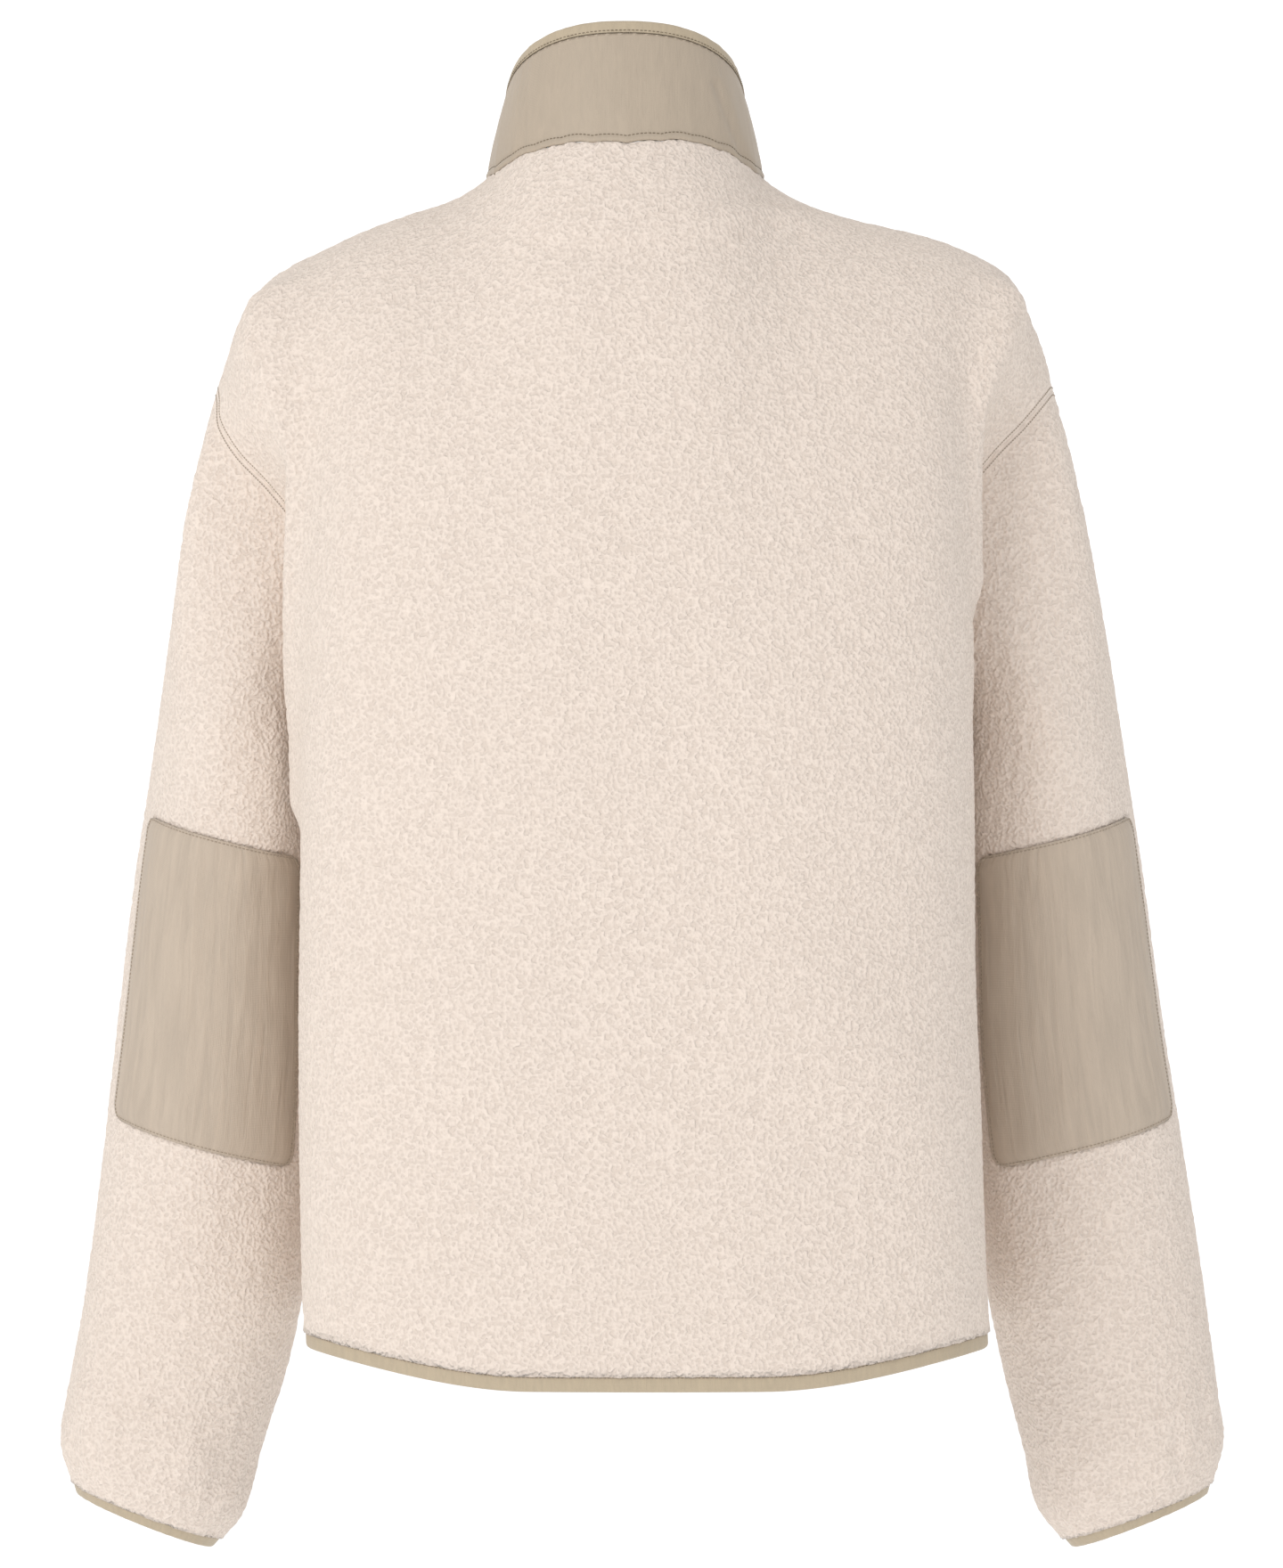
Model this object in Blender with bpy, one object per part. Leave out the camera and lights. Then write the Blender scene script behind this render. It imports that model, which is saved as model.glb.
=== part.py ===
"""Sherpa fleece pullover, filled out as if worn and hollow inside.

Metres, +Z up. The back faces -Y and the front +Y. The origin is the middle of the neck
opening, level with the two points where the shoulder seams reach the collar.

Each panel is a grid of points on its outer face and a second grid one wall further in.
A place on a panel is given by its share, from -1 at the left edge to +1 at the right,
and by its rise. Places on a sleeve are given by the angle round it, from the outer side
backwards, and by the way down it, from the armhole to the cuff.
"""
import math

import bpy
import numpy as np

# Walls and gaps
FLEECE = 0.0040
NYLON = 0.0012
BINDING_WALL = 0.0026
TAPE_WALL = 0.0010
SEAM_GAP = 0.0003
MITRE_LIMIT = 1.6
PATCH_GAP = 0.0006
TAPE_GAP = 0.0008

# Panels
SIDE_SEAM_Y = 0.025
BACK_SQUARENESS = 2.6
FRONT_SQUARENESS = 2.1
NECK_SHARE = 0.29
NECK_HALF_WIDTH = 0.0715
NECK_BACK = 0.075
NECK_FRONT = 0.083
SLIT_SHARE = 0.021
SLIT_RISE = 5 / 12
UNDERARM_SWING = 0.55
PANEL_REACH = (0.21, 0.29)
SAG_START = 0.20
SAG_SPAN = 0.45

# Points across half a panel, up a panel, and round and down a sleeve
NECK_STEPS = 6
NECK_CROWDING = 1.45
SHOULDER_STEPS = 7
SIDE_STEPS = 10
ARMHOLE_STEPS = 12
CAP_STEPS = 8
ARM_STEPS = 17
COLLAR_STEPS = 5
CUFF_CROWDING = 1.3

# Sleeve; it leaves the armhole outwards by shares for its top, its sides and the underarm
CAP_END = 0.30
LEAVE_OUT = (0.12, 0.45, 0.25)
LEAVE_FORWARD = 0.15
LEAVE_DOWN = 0.88
RING_STEP = 0.01
SLEEVE_SQUARENESS = 2.15
SLEEVE_REACH = (0.36, 0.49)

# Collar
COLLAR_HALF_WIDTH = 0.0615
COLLAR_SQUARENESS = 2.3
COLLAR_HALF_DEPTH = 0.0700
COLLAR_FORWARD = 0.0080
COLLAR_HEIGHT = 0.0350
COLLAR_TILT_RISE = 0.0285
COLLAR_BULGE = 0.0015

# Bindings
HEM_BINDING = 0.0085
CUFF_BINDING = 0.0085
COLLAR_BINDING = 0.0070

# Elbow patches: edges as angles round the sleeve and heights of its rings
PATCH_OUTER_ANGLE = math.radians(27)
PATCH_INNER_ANGLE = math.radians(140)
PATCH_TOP = (0.3365, 0.3430)
PATCH_BOTTOM = (0.4975, 0.5035)
PATCH_CORNER = 0.0085

# Zip
TAPE_SHARE = 0.050
COIL_SHARE = 0.003
TAPE_TAIL = 0.03
SLIDER_RISE = 0.80
SLIDER_GAP = 0.0003
SLIDER_WIDTH = 0.0084
SLIDER_THICKNESS = 0.0040
SLIDER_LENGTH = 0.0110
SLIDER_BEVEL = 0.0008
ARCH_WIDTH = 0.0020
ARCH_BAR = 0.0010
PULL_THICKNESS = 0.0012
PULL_OUT = 0.0013


class Table:
    """Rows of sizes with named columns, read between the rows on a smooth curve."""

    def __init__(self, names, *rows):
        self.names = names.split()
        self.rows = np.array(rows)

    def read(self, name, at):
        keys = self.rows[:, 0]
        values = self.rows[:, self.names.index(name)]
        slopes = np.gradient(values, keys)
        row = np.clip(np.searchsorted(keys, at, side="right") - 1, 0, len(keys) - 2)
        step = keys[row + 1] - keys[row]
        part = (np.asarray(at) - keys[row]) / step
        return hermite(part, values[row], slopes[row] * step,
                       values[row + 1], slopes[row + 1] * step)

    def first(self):
        return self.rows[0, 0]

    def last(self):
        return self.rows[-1, 0]


def hermite(part, start, leave, end, arrive):
    """A cubic from start to end with the directions it leaves and arrives in."""
    square = part * part
    cube = square * part
    return ((2 * cube - 3 * square + 1) * start + (cube - 2 * square + part) * leave
            + (3 * square - 2 * cube) * end + (cube - square) * arrive)


# Level sections of the torso below the arms, by the height of the side seam
TORSO = Table(
    "height half_width centre_x widest_y back_depth front_depth back_sag front_sag",
    (-0.5905, 0.1735, 0.0110, -0.040, 0.096, 0.168, 0.014, 0.004),
    (-0.500, 0.1742, 0.0105, -0.040, 0.095, 0.168, 0.016, 0.008),
    (-0.400, 0.1738, 0.0095, -0.041, 0.094, 0.170, 0.022, 0.018),
    (-0.292, 0.1725, 0.0085, -0.042, 0.092, 0.172, 0.030, 0.030),
)

# Line over the shoulders, by share; inside the neck's share it runs on up and is cut away
SHOULDER = Table(
    "share left right height",
    (-0.100, 0.0250, -0.0250, 0.060),
    (0.000, 0.0000, 0.0000, 0.069),
    (0.100, -0.0250, 0.0250, 0.060),
    (0.200, -0.0500, 0.0500, 0.031),
    (0.290, -0.0715, 0.0715, -0.003),
    (0.371, -0.0890, 0.0880, -0.014),
    (0.456, -0.1110, 0.1080, -0.0215),
    (0.628, -0.1520, 0.1705, -0.038),
    (0.763, -0.1845, 0.2010, -0.056),
    (0.854, -0.1990, 0.2105, -0.076),
    (0.928, -0.2055, 0.2175, -0.094),
    (1.000, -0.2115, 0.2220, -0.112),
)

# How the back and front panels reach the shoulder line, by share
CROWN = Table(
    "share seam_y outward back front upward",
    (-0.15, 0.000, 0.000, 0.335, 0.270, 0.050),
    (0.00, 0.000, 0.000, 0.335, 0.270, 0.060),
    (0.15, 0.000, 0.000, 0.335, 0.270, 0.050),
    (0.29, 0.000, 0.000, 0.330, 0.260, 0.030),
    (0.60, 0.004, 0.010, 0.310, 0.240, 0.000),
    (0.85, 0.008, 0.030, 0.250, 0.210, -0.010),
    (1.00, 0.010, 0.040, 0.230, 0.200, -0.020),
)
UNDERARM_LEAVE = (0.060, 0.190, 0.130)

# How far the back panel is drawn in and forward at the armhole, under its soft fold
TUCK = Table(
    "rise left right forward",
    (0.000, 0.0000, 0.0000, 0.000),
    (0.200, 0.0035, 0.0060, 0.005),
    (0.333, 0.0095, 0.0145, 0.012),
    (0.417, 0.0145, 0.0200, 0.016),
    (0.500, 0.0175, 0.0255, 0.017),
    (0.583, 0.0085, 0.0255, 0.018),
    (0.667, -0.0035, 0.0165, 0.018),
    (0.750, -0.0080, 0.0065, 0.016),
    (0.850, -0.0045, 0.0005, 0.009),
    (1.000, 0.0000, 0.0000, 0.000),
)
TUCK_FROM = (0.42, 0.84)

# Rings of a sleeve below the armhole, by how far they hang below the origin
SLEEVE = Table(
    "drop left right half_width forward half_depth tilt lean",
    (0.310, -0.2025, 0.2165, 0.0465, 0.0480, 0.0630, 10.0, 4.0),
    (0.371, -0.2085, 0.2230, 0.0500, 0.0560, 0.0610, 11.0, 4.0),
    (0.443, -0.2130, 0.2290, 0.0545, 0.0620, 0.0580, 12.0, 4.0),
    (0.525, -0.2205, 0.2400, 0.0570, 0.0650, 0.0545, 12.0, 4.0),
    (0.607, -0.2335, 0.2535, 0.0560, 0.0680, 0.0515, 13.0, 3.0),
    (0.655, -0.2450, 0.2625, 0.0530, 0.0690, 0.0490, 16.0, 1.0),
    (0.686, -0.2510, 0.2685, 0.0500, 0.0700, 0.0450, 20.5, -1.0),
    (0.6985, -0.2535, 0.2710, 0.0430, 0.0705, 0.0385, 21.0, -3.0),
)

# The pull tab's eye and edge, from its top round one side to its foot, from the hinge
PULL = Table(
    "eye_across eye_below edge_across edge_below",
    (0.0000, 0.0006, 0.0000, -0.0007),
    (0.0012, 0.0006, 0.0020, -0.0006),
    (0.0016, 0.0010, 0.0029, 0.0003),
    (0.0016, 0.0026, 0.0031, 0.0026),
    (0.0016, 0.0042, 0.0029, 0.0070),
    (0.0012, 0.0046, 0.0028, 0.0130),
    (0.0006, 0.0046, 0.0033, 0.0230),
    (0.0003, 0.0046, 0.0024, 0.0262),
    (0.0000, 0.0046, 0.0000, 0.0268),
)

# Middle line of the arch on the slider's face, from the face out and up
ARCH = Table(
    "out up",
    (-0.0008, 0.0030),
    (0.0025, 0.0030),
    (0.0031, 0.0024),
    (0.0031, -0.0024),
    (0.0025, -0.0030),
    (-0.0008, -0.0030),
)

# Soft folds: where each begins and ends, its half width and how far it stands out.
# On a panel a place is a share and a rise, on a sleeve a part of the way round and a way.
BACK_FOLDS = Table(
    "from_across from_up to_across to_up half_width height",
    (-0.840, -0.10, -0.760, 0.80, 0.014, 0.0085),
    (0.820, 0.32, 0.770, 0.82, 0.014, 0.0085),
    (0.360, 0.76, 0.350, 0.93, 0.018, 0.0030),
    (0.330, 0.88, 0.470, 0.91, 0.014, 0.0030),
    (-0.170, 0.80, 0.330, 0.79, 0.009, -0.0015),
    (0.300, -0.35, 0.440, -0.55, 0.022, 0.0030),
    (-0.520, -0.45, -0.480, -0.90, 0.028, 0.0030),
    (0.560, -0.60, 0.540, -0.95, 0.026, 0.0030),
)
FRONT_FOLDS = Table(
    "from_across from_up to_across to_up half_width height",
    (-0.880, 0.20, -0.840, 0.75, 0.015, 0.0060),
    (0.880, 0.15, 0.830, 0.78, 0.015, 0.0060),
    (-0.420, 0.30, -0.560, -0.30, 0.026, 0.0040),
    (0.380, 0.15, 0.540, -0.45, 0.026, 0.0040),
    (-0.300, -0.50, -0.340, -0.92, 0.026, 0.0035),
    (0.240, -0.45, 0.200, -0.90, 0.026, 0.0030),
)
SLEEVE_FOLDS = Table(
    "from_across from_up to_across to_up half_width height",
    (0.560, 0.52, 0.720, 0.46, 0.012, 0.0045),
    (0.540, 0.62, 0.700, 0.58, 0.012, 0.0040),
    (0.700, 0.20, 0.640, 0.36, 0.016, 0.0040),
    (0.300, 0.08, 0.220, 0.26, 0.016, 0.0025),
    (0.620, 0.90, 0.860, 0.93, 0.010, 0.0035),
    (0.090, 0.905, 0.330, 0.93, 0.010, 0.0020),
)
FOLD_FADE = 0.06

# Colour, roughness and metallic value of each cloth and metal
FINISHES = {
    "fleece": ((0.86, 0.79, 0.70), 0.95, 0.0),
    "nylon": ((0.52, 0.44, 0.34), 0.55, 0.0),
    "binding": ((0.47, 0.39, 0.28), 0.60, 0.0),
    "zip_tape": ((0.42, 0.35, 0.26), 0.80, 0.0),
    "metal": ((0.33, 0.29, 0.24), 0.35, 1.0),
}


def remove_everything():
    for thing in list(bpy.data.objects):
        bpy.data.objects.remove(thing, do_unlink=True)


def finish(name):
    """The material of one cloth or metal, made when it is first asked for."""
    material = bpy.data.materials.get(name)
    if material is None:
        colour, roughness, metallic = FINISHES[name]
        material = bpy.data.materials.new(name)
        material.use_nodes = True
        shader = material.node_tree.nodes["Principled BSDF"]
        shader.inputs["Base Color"].default_value = (*colour, 1.0)
        shader.inputs["Roughness"].default_value = roughness
        shader.inputs["Metallic"].default_value = metallic
        material.diffuse_color = (*colour, 1.0)
    return material


def add_object(name, points, faces, finish_name, crease=40.0):
    mesh = bpy.data.meshes.new(name)
    mesh.from_pydata([tuple(p) for p in points], [], faces)
    mesh.materials.append(finish(finish_name))
    mesh.shade_smooth()
    mesh.set_sharp_from_angle(angle=math.radians(crease))
    thing = bpy.data.objects.new(name, mesh)
    bpy.context.scene.collection.objects.link(thing)
    return thing


def unit(vectors):
    return vectors / np.linalg.norm(vectors, axis=-1, keepdims=True)


def ease(part):
    """Goes from 0 to 1 and is level at both ends."""
    part = np.clip(part, 0.0, 1.0)
    return part * part * (3 - 2 * part)


def along(points, axis, wrap):
    """Direction of a grid along one of its axes."""
    if wrap:
        return np.roll(points, -1, axis) - np.roll(points, 1, axis)
    return np.gradient(points, axis=axis)


def grid_normals(points, wrap, turn):
    """Unit vectors that point into the wall from each point of its outer face."""
    return unit(np.cross(along(points, 1, wrap), along(points, 0, False))) * turn


# ---- the shape of the panels ----

def signed_power(value, power):
    return np.sign(value) * np.abs(value) ** power


def torso_row(height, share, front):
    """Points on a level section of the torso, on the back or the front panel."""
    size = {name: TORSO.read(name, height) for name in TORSO.names[1:]}
    angle = np.linspace(0, math.pi, 721)
    behind = angle < math.pi / 2
    power = 2 / np.where(behind, BACK_SQUARENESS, FRONT_SQUARENESS)
    depth = np.where(behind, size["back_depth"], size["front_depth"])
    out = size["half_width"] * np.abs(np.sin(angle)) ** power
    forward = size["widest_y"] - depth * signed_power(np.cos(angle), power)
    length = np.concatenate([[0], np.cumsum(np.hypot(np.diff(out), np.diff(forward)))])
    seam = np.interp(SIDE_SEAM_Y, forward, length)
    way = np.abs(share) * seam
    if front:
        way = length[-1] - np.abs(share) * (length[-1] - seam)
    x = size["centre_x"] + np.sign(share) * np.interp(way, length, out)
    y = np.interp(way, length, forward)
    sag = size["front_sag" if front else "back_sag"]
    z = height - sag * (1 - ease((np.abs(share) - SAG_START) / SAG_SPAN))
    return np.stack([x, y, z], axis=-1)


def shoulder_point(share):
    beyond = np.abs(share)
    x = np.where(share < 0, SHOULDER.read("left", beyond), SHOULDER.read("right", beyond))
    return np.stack([x, CROWN.read("seam_y", beyond), SHOULDER.read("height", beyond)], axis=-1)


def crown_point(share, rise, front):
    """Point above the underarm on an untrimmed panel; rise is 1 on the shoulder line."""
    share = np.asarray(share, dtype=float)
    side = np.sign(share)
    beyond = np.abs(share)
    facing = -1.0 if front else 1.0
    start = torso_row(TORSO.last(), share, front)
    end = shoulder_point(share)
    swing = ease((beyond - UNDERARM_SWING) / (1 - UNDERARM_SWING)) ** 1.5
    outward, backward, upward = UNDERARM_LEAVE
    upright = end[..., 2] - start[..., 2]
    leave = np.stack([facing * swing * outward * side, -facing * swing * backward,
                      swing * upward + (1 - swing) * upright], axis=-1)
    reach = CROWN.read("front" if front else "back", beyond)
    arrive = np.stack([CROWN.read("outward", beyond) * side, facing * reach,
                       CROWN.read("upward", beyond)], axis=-1)
    rise = np.broadcast_to(np.asarray(rise, dtype=float), beyond.shape)
    points = hermite(rise[..., None], start, leave, end, arrive)
    if not front:
        points = points + tuck(side, beyond, rise)
    return points


def tuck(side, beyond, rise):
    """How far the back panel is drawn in and forward beside the armhole."""
    across, ahead = TUCK_FROM
    sideways = np.where(side < 0, TUCK.read("left", rise), TUCK.read("right", rise))
    inward = sideways * ease((beyond - across) / (1 - across))
    forward = TUCK.read("forward", rise) * ease((beyond - ahead) / (1 - ahead))
    return np.stack([-side * inward, forward, np.zeros_like(inward)], axis=-1)


def outside_neck(points):
    depth = np.where(points[..., 1] < 0, NECK_BACK, NECK_FRONT)
    return (points[..., 0] / NECK_HALF_WIDTH) ** 2 + (points[..., 1] / depth) ** 2 - 1


def neck_rise(share, front):
    """How far up an untrimmed panel the neckline crosses it, found by halving."""
    low = np.zeros_like(share)
    high = np.ones_like(share)
    for _ in range(36):
        middle = (low + high) / 2
        out = outside_neck(crown_point(share, middle, front)) > 0
        low = np.where(out, middle, low)
        high = np.where(out, high, middle)
    return np.where(np.abs(share) < NECK_SHARE - 1e-6, (low + high) / 2, 1.0)


def panel_point(share, rise, front):
    """Point on a panel; rise is -1 at the hem, 0 at the underarm and 1 at the top edge."""
    if rise < 0:
        height = TORSO.last() + rise * (TORSO.last() - TORSO.first())
        return torso_row(height, share, front)
    return crown_point(share, rise * neck_rise(share, front), front)


def panel_shares(front):
    """Shares of a panel's lines of points, at the hem and at the top edge."""
    count = NECK_STEPS + SHOULDER_STEPS
    neck = NECK_SHARE * (1 - np.linspace(1, 0, NECK_STEPS + 1) ** NECK_CROWDING)
    shoulder = np.linspace(NECK_SHARE, 1, SHOULDER_STEPS + 1)[1:]
    top = np.concatenate([neck, shoulder])
    low = np.linspace(0, 1, count + 1)
    if front:
        top[0] = SLIT_SHARE
        low = np.linspace(SLIT_SHARE, 1, count + 1)
        return (np.concatenate([-low[::-1], low]), np.concatenate([-top[::-1], top]))
    return (np.concatenate([-low[:0:-1], low]), np.concatenate([-top[:0:-1], top]))


def panel_rises():
    lower = np.linspace(-1, 0, SIDE_STEPS + 1)
    upper = np.linspace(0, 1, ARMHOLE_STEPS + 1)
    return np.concatenate([lower, upper[1:]])


def panel_places(front):
    """The share of each point in a panel's grid."""
    low, top = panel_shares(front)
    return np.array([low + (top - low) * ease(rise) for rise in panel_rises()])


def panel_grid(front):
    rows = zip(panel_places(front), panel_rises())
    return np.array([panel_point(shares, rise, front) for shares, rise in rows])


def fold_height(folds, reach, across, up):
    """How far the folds lift a cloth; reach is what one across and one up measure."""
    scale = np.array(reach)
    place = np.stack([across, up], axis=-1) * scale
    height = np.zeros(place.shape[:-1])
    for start_x, start_y, end_x, end_y, half_width, lift in folds.rows:
        start = np.array([start_x, start_y]) * scale
        line = np.array([end_x, end_y]) * scale - start
        part = np.clip(np.sum((place - start) * line, axis=-1) / np.sum(line * line), 0, 1)
        away = np.linalg.norm(place - start - part[..., None] * line, axis=-1)
        height = height + lift * np.exp(-(away / half_width) ** 2)
    return height


def fold_panel(grid, folds, shares, rises):
    """Lifts a panel's grid by its folds, which fade out towards every seam."""
    up = np.broadcast_to(rises[:, None], shares.shape)
    fade = ease((1 - np.abs(shares)) / FOLD_FADE) * ease((1 - up) / FOLD_FADE)
    fade = fade * ease((up + 1) / FOLD_FADE)
    height = fold_height(folds, PANEL_REACH, shares, up) * fade
    grid["points"] = grid["points"] - grid["inward"] * height[..., None]


def fold_sleeve(grid, ways):
    around = grid["points"].shape[1]
    across, up = np.meshgrid(np.arange(around) / around, ways)
    fade = ease(up / FOLD_FADE) * ease((1 - up) / FOLD_FADE)
    height = fold_height(SLEEVE_FOLDS, SLEEVE_REACH, across, up) * fade
    grid["points"] = grid["points"] - grid["inward"] * height[..., None]


# ---- the shape of the sleeves ----

def ring_point(side, drop, angle):
    """Point on a sleeve's ring; the angle starts at the outer side and goes backwards."""
    tilt = np.radians(SLEEVE.read("tilt", drop))
    lean = np.radians(SLEEVE.read("lean", drop))
    centre_x = SLEEVE.read("left" if side < 0 else "right", drop)
    out = SLEEVE.read("half_width", drop) * signed_power(np.cos(angle), 2 / SLEEVE_SQUARENESS)
    back = SLEEVE.read("half_depth", drop) * signed_power(np.sin(angle), 2 / SLEEVE_SQUARENESS)
    x = centre_x + side * out * np.cos(tilt)
    y = SLEEVE.read("forward", drop) - back * np.cos(lean)
    z = -drop + out * np.sin(tilt) - back * np.sin(lean)
    return np.stack([x, y, z], axis=-1)


def armhole_point(side, angle):
    """Point on the armhole seam; angle 0 is its top and half a turn is the underarm."""
    turn = np.mod(angle, 2 * math.pi)
    behind = crown_point(np.full_like(turn, side), 1 - turn / math.pi, False)
    before = crown_point(np.full_like(turn, side), turn / math.pi - 1, True)
    return np.where((turn <= math.pi)[..., None], behind, before)


def sleeve_point(side, way, angle):
    """Point on a sleeve; way is 0 at the armhole and 1 at the end of the fleece."""
    first, last = SLEEVE.first(), SLEEVE.last()
    if way >= CAP_END:
        drop = first + (last - first) * (way - CAP_END) / (1 - CAP_END)
        return ring_point(side, drop, angle)
    start = armhole_point(side, angle)
    end = ring_point(side, first, angle)
    length = np.linalg.norm(end - start, axis=-1, keepdims=True)
    above, below = 1 + np.cos(angle), 1 - np.cos(angle)
    top, sides, underarm = LEAVE_OUT
    outward = top * above + sides * np.sin(angle) ** 2 + underarm * below
    forward = LEAVE_FORWARD * below
    leave = unit(np.stack([side * outward, forward, np.full_like(angle, -LEAVE_DOWN)], axis=-1))
    arrive = unit(ring_point(side, first + RING_STEP, angle) - end)
    return hermite(way / CAP_END, start, leave * length, end, arrive * length)


def sleeve_ways():
    cap = np.linspace(0, CAP_END, CAP_STEPS + 1)
    arm = 1 - (1 - CAP_END) * np.linspace(1, 0, ARM_STEPS + 1) ** CUFF_CROWDING
    return np.concatenate([cap, arm[1:]])


def sleeve_grid(side):
    angle = np.linspace(0, 2 * math.pi, 2 * ARMHOLE_STEPS, endpoint=False)
    return np.array([sleeve_point(side, way, angle) for way in sleeve_ways()])


# ---- the shape of the collar ----

def collar_point(share, rise, front):
    """Point on the collar above the neckline; rise is 1 where its binding begins."""
    base = panel_point(share, 1.0, front)
    depth = np.where(base[..., 1] < 0, NECK_BACK, NECK_FRONT)
    bearing = np.arctan2(base[..., 0] / NECK_HALF_WIDTH, -base[..., 1] / depth)
    across = signed_power(np.sin(bearing), 2 / COLLAR_SQUARENESS)
    behind = signed_power(np.cos(bearing), 2 / COLLAR_SQUARENESS)
    top = np.stack([COLLAR_HALF_WIDTH * across, COLLAR_FORWARD - COLLAR_HALF_DEPTH * behind,
                    COLLAR_HEIGHT + COLLAR_TILT_RISE * behind], axis=-1)
    out = np.stack([np.sin(bearing), -np.cos(bearing), np.zeros_like(bearing)], axis=-1)
    bulge = 4 * COLLAR_BULGE * rise * (1 - rise)
    return base + (top - base) * rise + out * bulge


def collar_grid():
    """Rows of the open collar, from the zip's left side round the back to its right side."""
    back = panel_shares(False)[1]
    front = panel_shares(True)[1]
    back = back[np.abs(back) <= NECK_SHARE + 1e-6]
    left = front[(front < 0) & (front >= -NECK_SHARE - 1e-6)][::-1]
    right = front[(front > 0) & (front <= NECK_SHARE + 1e-6)][::-1]
    rows = []
    for rise in np.linspace(0, 1, COLLAR_STEPS + 1):
        parts = [collar_point(left, rise, True), collar_point(back[1:-1], rise, False),
                 collar_point(right, rise, True)]
        rows.append(np.concatenate(parts))
    grid = np.array(rows)
    grid[0, :, 2] += SEAM_GAP
    return grid


# ---- walls, bindings and bars ----

def seam_keys(grid):
    return [tuple(np.round(place * 1e5).astype(int)) for place in grid["points"].reshape(-1, 3)]


def mitre(first, second):
    """The way into both of two walls that meet, longer where they meet at an angle."""
    total = first + second
    size = np.linalg.norm(total)
    return total / size * min(2 / size, MITRE_LIMIT)


def share_normals(panels, sleeves):
    """Gives points that lie on a seam one way into the wall; the panels count as one cloth."""
    found = []
    for grids in (panels, sleeves):
        total = {}
        for grid in grids:
            for key, direction in zip(seam_keys(grid), grid["inward"].reshape(-1, 3)):
                total[key] = total.get(key, 0) + direction
        found.append({key: unit(direction) for key, direction in total.items()})
    torso, arms = found
    for grid in panels + sleeves:
        inward = []
        for key in seam_keys(grid):
            first = torso.get(key, arms.get(key))
            inward.append(mitre(first, arms.get(key, first)))
        grid["inward"] = np.array(inward).reshape(grid["points"].shape)


def pull_back(grid):
    """Draws each edge of a grid back by half the seam gap."""
    points = grid["points"]
    edges = [((0, slice(None)), (1, slice(None)), grid["wrap"]),
             ((-1, slice(None)), (-2, slice(None)), grid["wrap"])]
    if not grid["wrap"]:
        edges += [((slice(None), 0), (slice(None), 1), False),
                  ((slice(None), -1), (slice(None), -2), False)]
    shift = np.zeros_like(points)
    for edge, within, wrap in edges:
        tangent = unit(along(points[edge], 0, wrap))
        away = unit(np.cross(grid["inward"][edge], tangent))
        sign = np.sign(np.sum(away * (points[within] - points[edge]), axis=-1, keepdims=True))
        shift[edge] += away * sign * SEAM_GAP / 2
    grid["points"] = points + shift


def wall_faces(points, rows, columns, wrap, turn, missing):
    """Triangles of a wall between an outer and an inner grid, closed along every edge."""
    count = rows * columns

    def reach(a, b):
        return np.linalg.norm(points[a] - points[b])

    outer = []
    for row in range(rows - 1):
        for column in range(columns if wrap else columns - 1):
            if (row, column) in missing:
                continue
            across = (column + 1) % columns
            quad = [row * columns + column, row * columns + across,
                    (row + 1) * columns + across, (row + 1) * columns + column]
            outer.append(quad[::-1] if turn < 0 else quad)
    edges = {(quad[k], quad[(k + 1) % 4]) for quad in outer for k in range(4)}
    faces = []
    for a, b, c, d in outer:
        if reach(a, c) > reach(b, d):
            a, b, c, d = b, c, d, a
        faces += [(a, b, c), (a, c, d)]
        faces += [(c + count, b + count, a + count), (d + count, c + count, a + count)]
    for a, b in sorted(edges):
        if (b, a) in edges:
            continue
        if reach(b, a + count) < reach(a, b + count):
            faces += [(b, a, a + count), (b, a + count, b + count)]
        else:
            faces += [(b, a, b + count), (a, a + count, b + count)]
    return faces


def drop_unused(points, faces):
    used = sorted({corner for face in faces for corner in face})
    place = {old: new for new, old in enumerate(used)}
    return points[used], [tuple(place[corner] for corner in face) for face in faces]


def add_wall(name, outer, inner, wrap, turn, finish_name, missing=()):
    rows, columns = outer.shape[:2]
    points = np.concatenate([outer.reshape(-1, 3), inner.reshape(-1, 3)])
    faces = wall_faces(points, rows, columns, wrap, turn, set(missing))
    points, faces = drop_unused(points, faces)
    return add_object(name, points, faces, finish_name)


def add_bar(name, sections, closed, turn, finish_name):
    """Skins a row of closed sections; an open row gets a flat end at each side."""
    count, around = sections.shape[:2]
    faces = []
    for k in range(count if closed else count - 1):
        for m in range(around):
            a = k * around + m
            b = k * around + (m + 1) % around
            c = (k + 1) % count * around + (m + 1) % around
            d = (k + 1) % count * around + m
            faces.append((a, b, c, d))
    if not closed:
        faces.append(tuple(range(around))[::-1])
        faces.append(tuple(range((count - 1) * around, count * around)))
    if turn < 0:
        faces = [face[::-1] for face in faces]
    return add_object(name, sections.reshape(-1, 3), faces, finish_name)


def add_binding(name, outer, inner, beyond, height, closed, turn):
    """A folded strip round a cloth's edge, given the edge's outer and inner points."""
    middle = (outer + inner) / 2
    across = unit(outer - inner)
    down = beyond - np.sum(beyond * across, axis=-1, keepdims=True) * across
    down = unit(down)
    half = BINDING_WALL / 2
    outline = ((half, SEAM_GAP), (half, height - half), (half * 0.45, height),
               (-half * 0.45, height), (-half, height - half), (-half, SEAM_GAP))
    section = [middle + across * side + down * depth for side, depth in outline]
    return add_bar(name, np.stack(section, axis=1), closed, turn, "binding")


# ---- the pieces ----

def make_grid(points, wrap, turn):
    return {"points": points, "wrap": wrap, "turn": turn,
            "inward": grid_normals(points, wrap, turn)}


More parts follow.
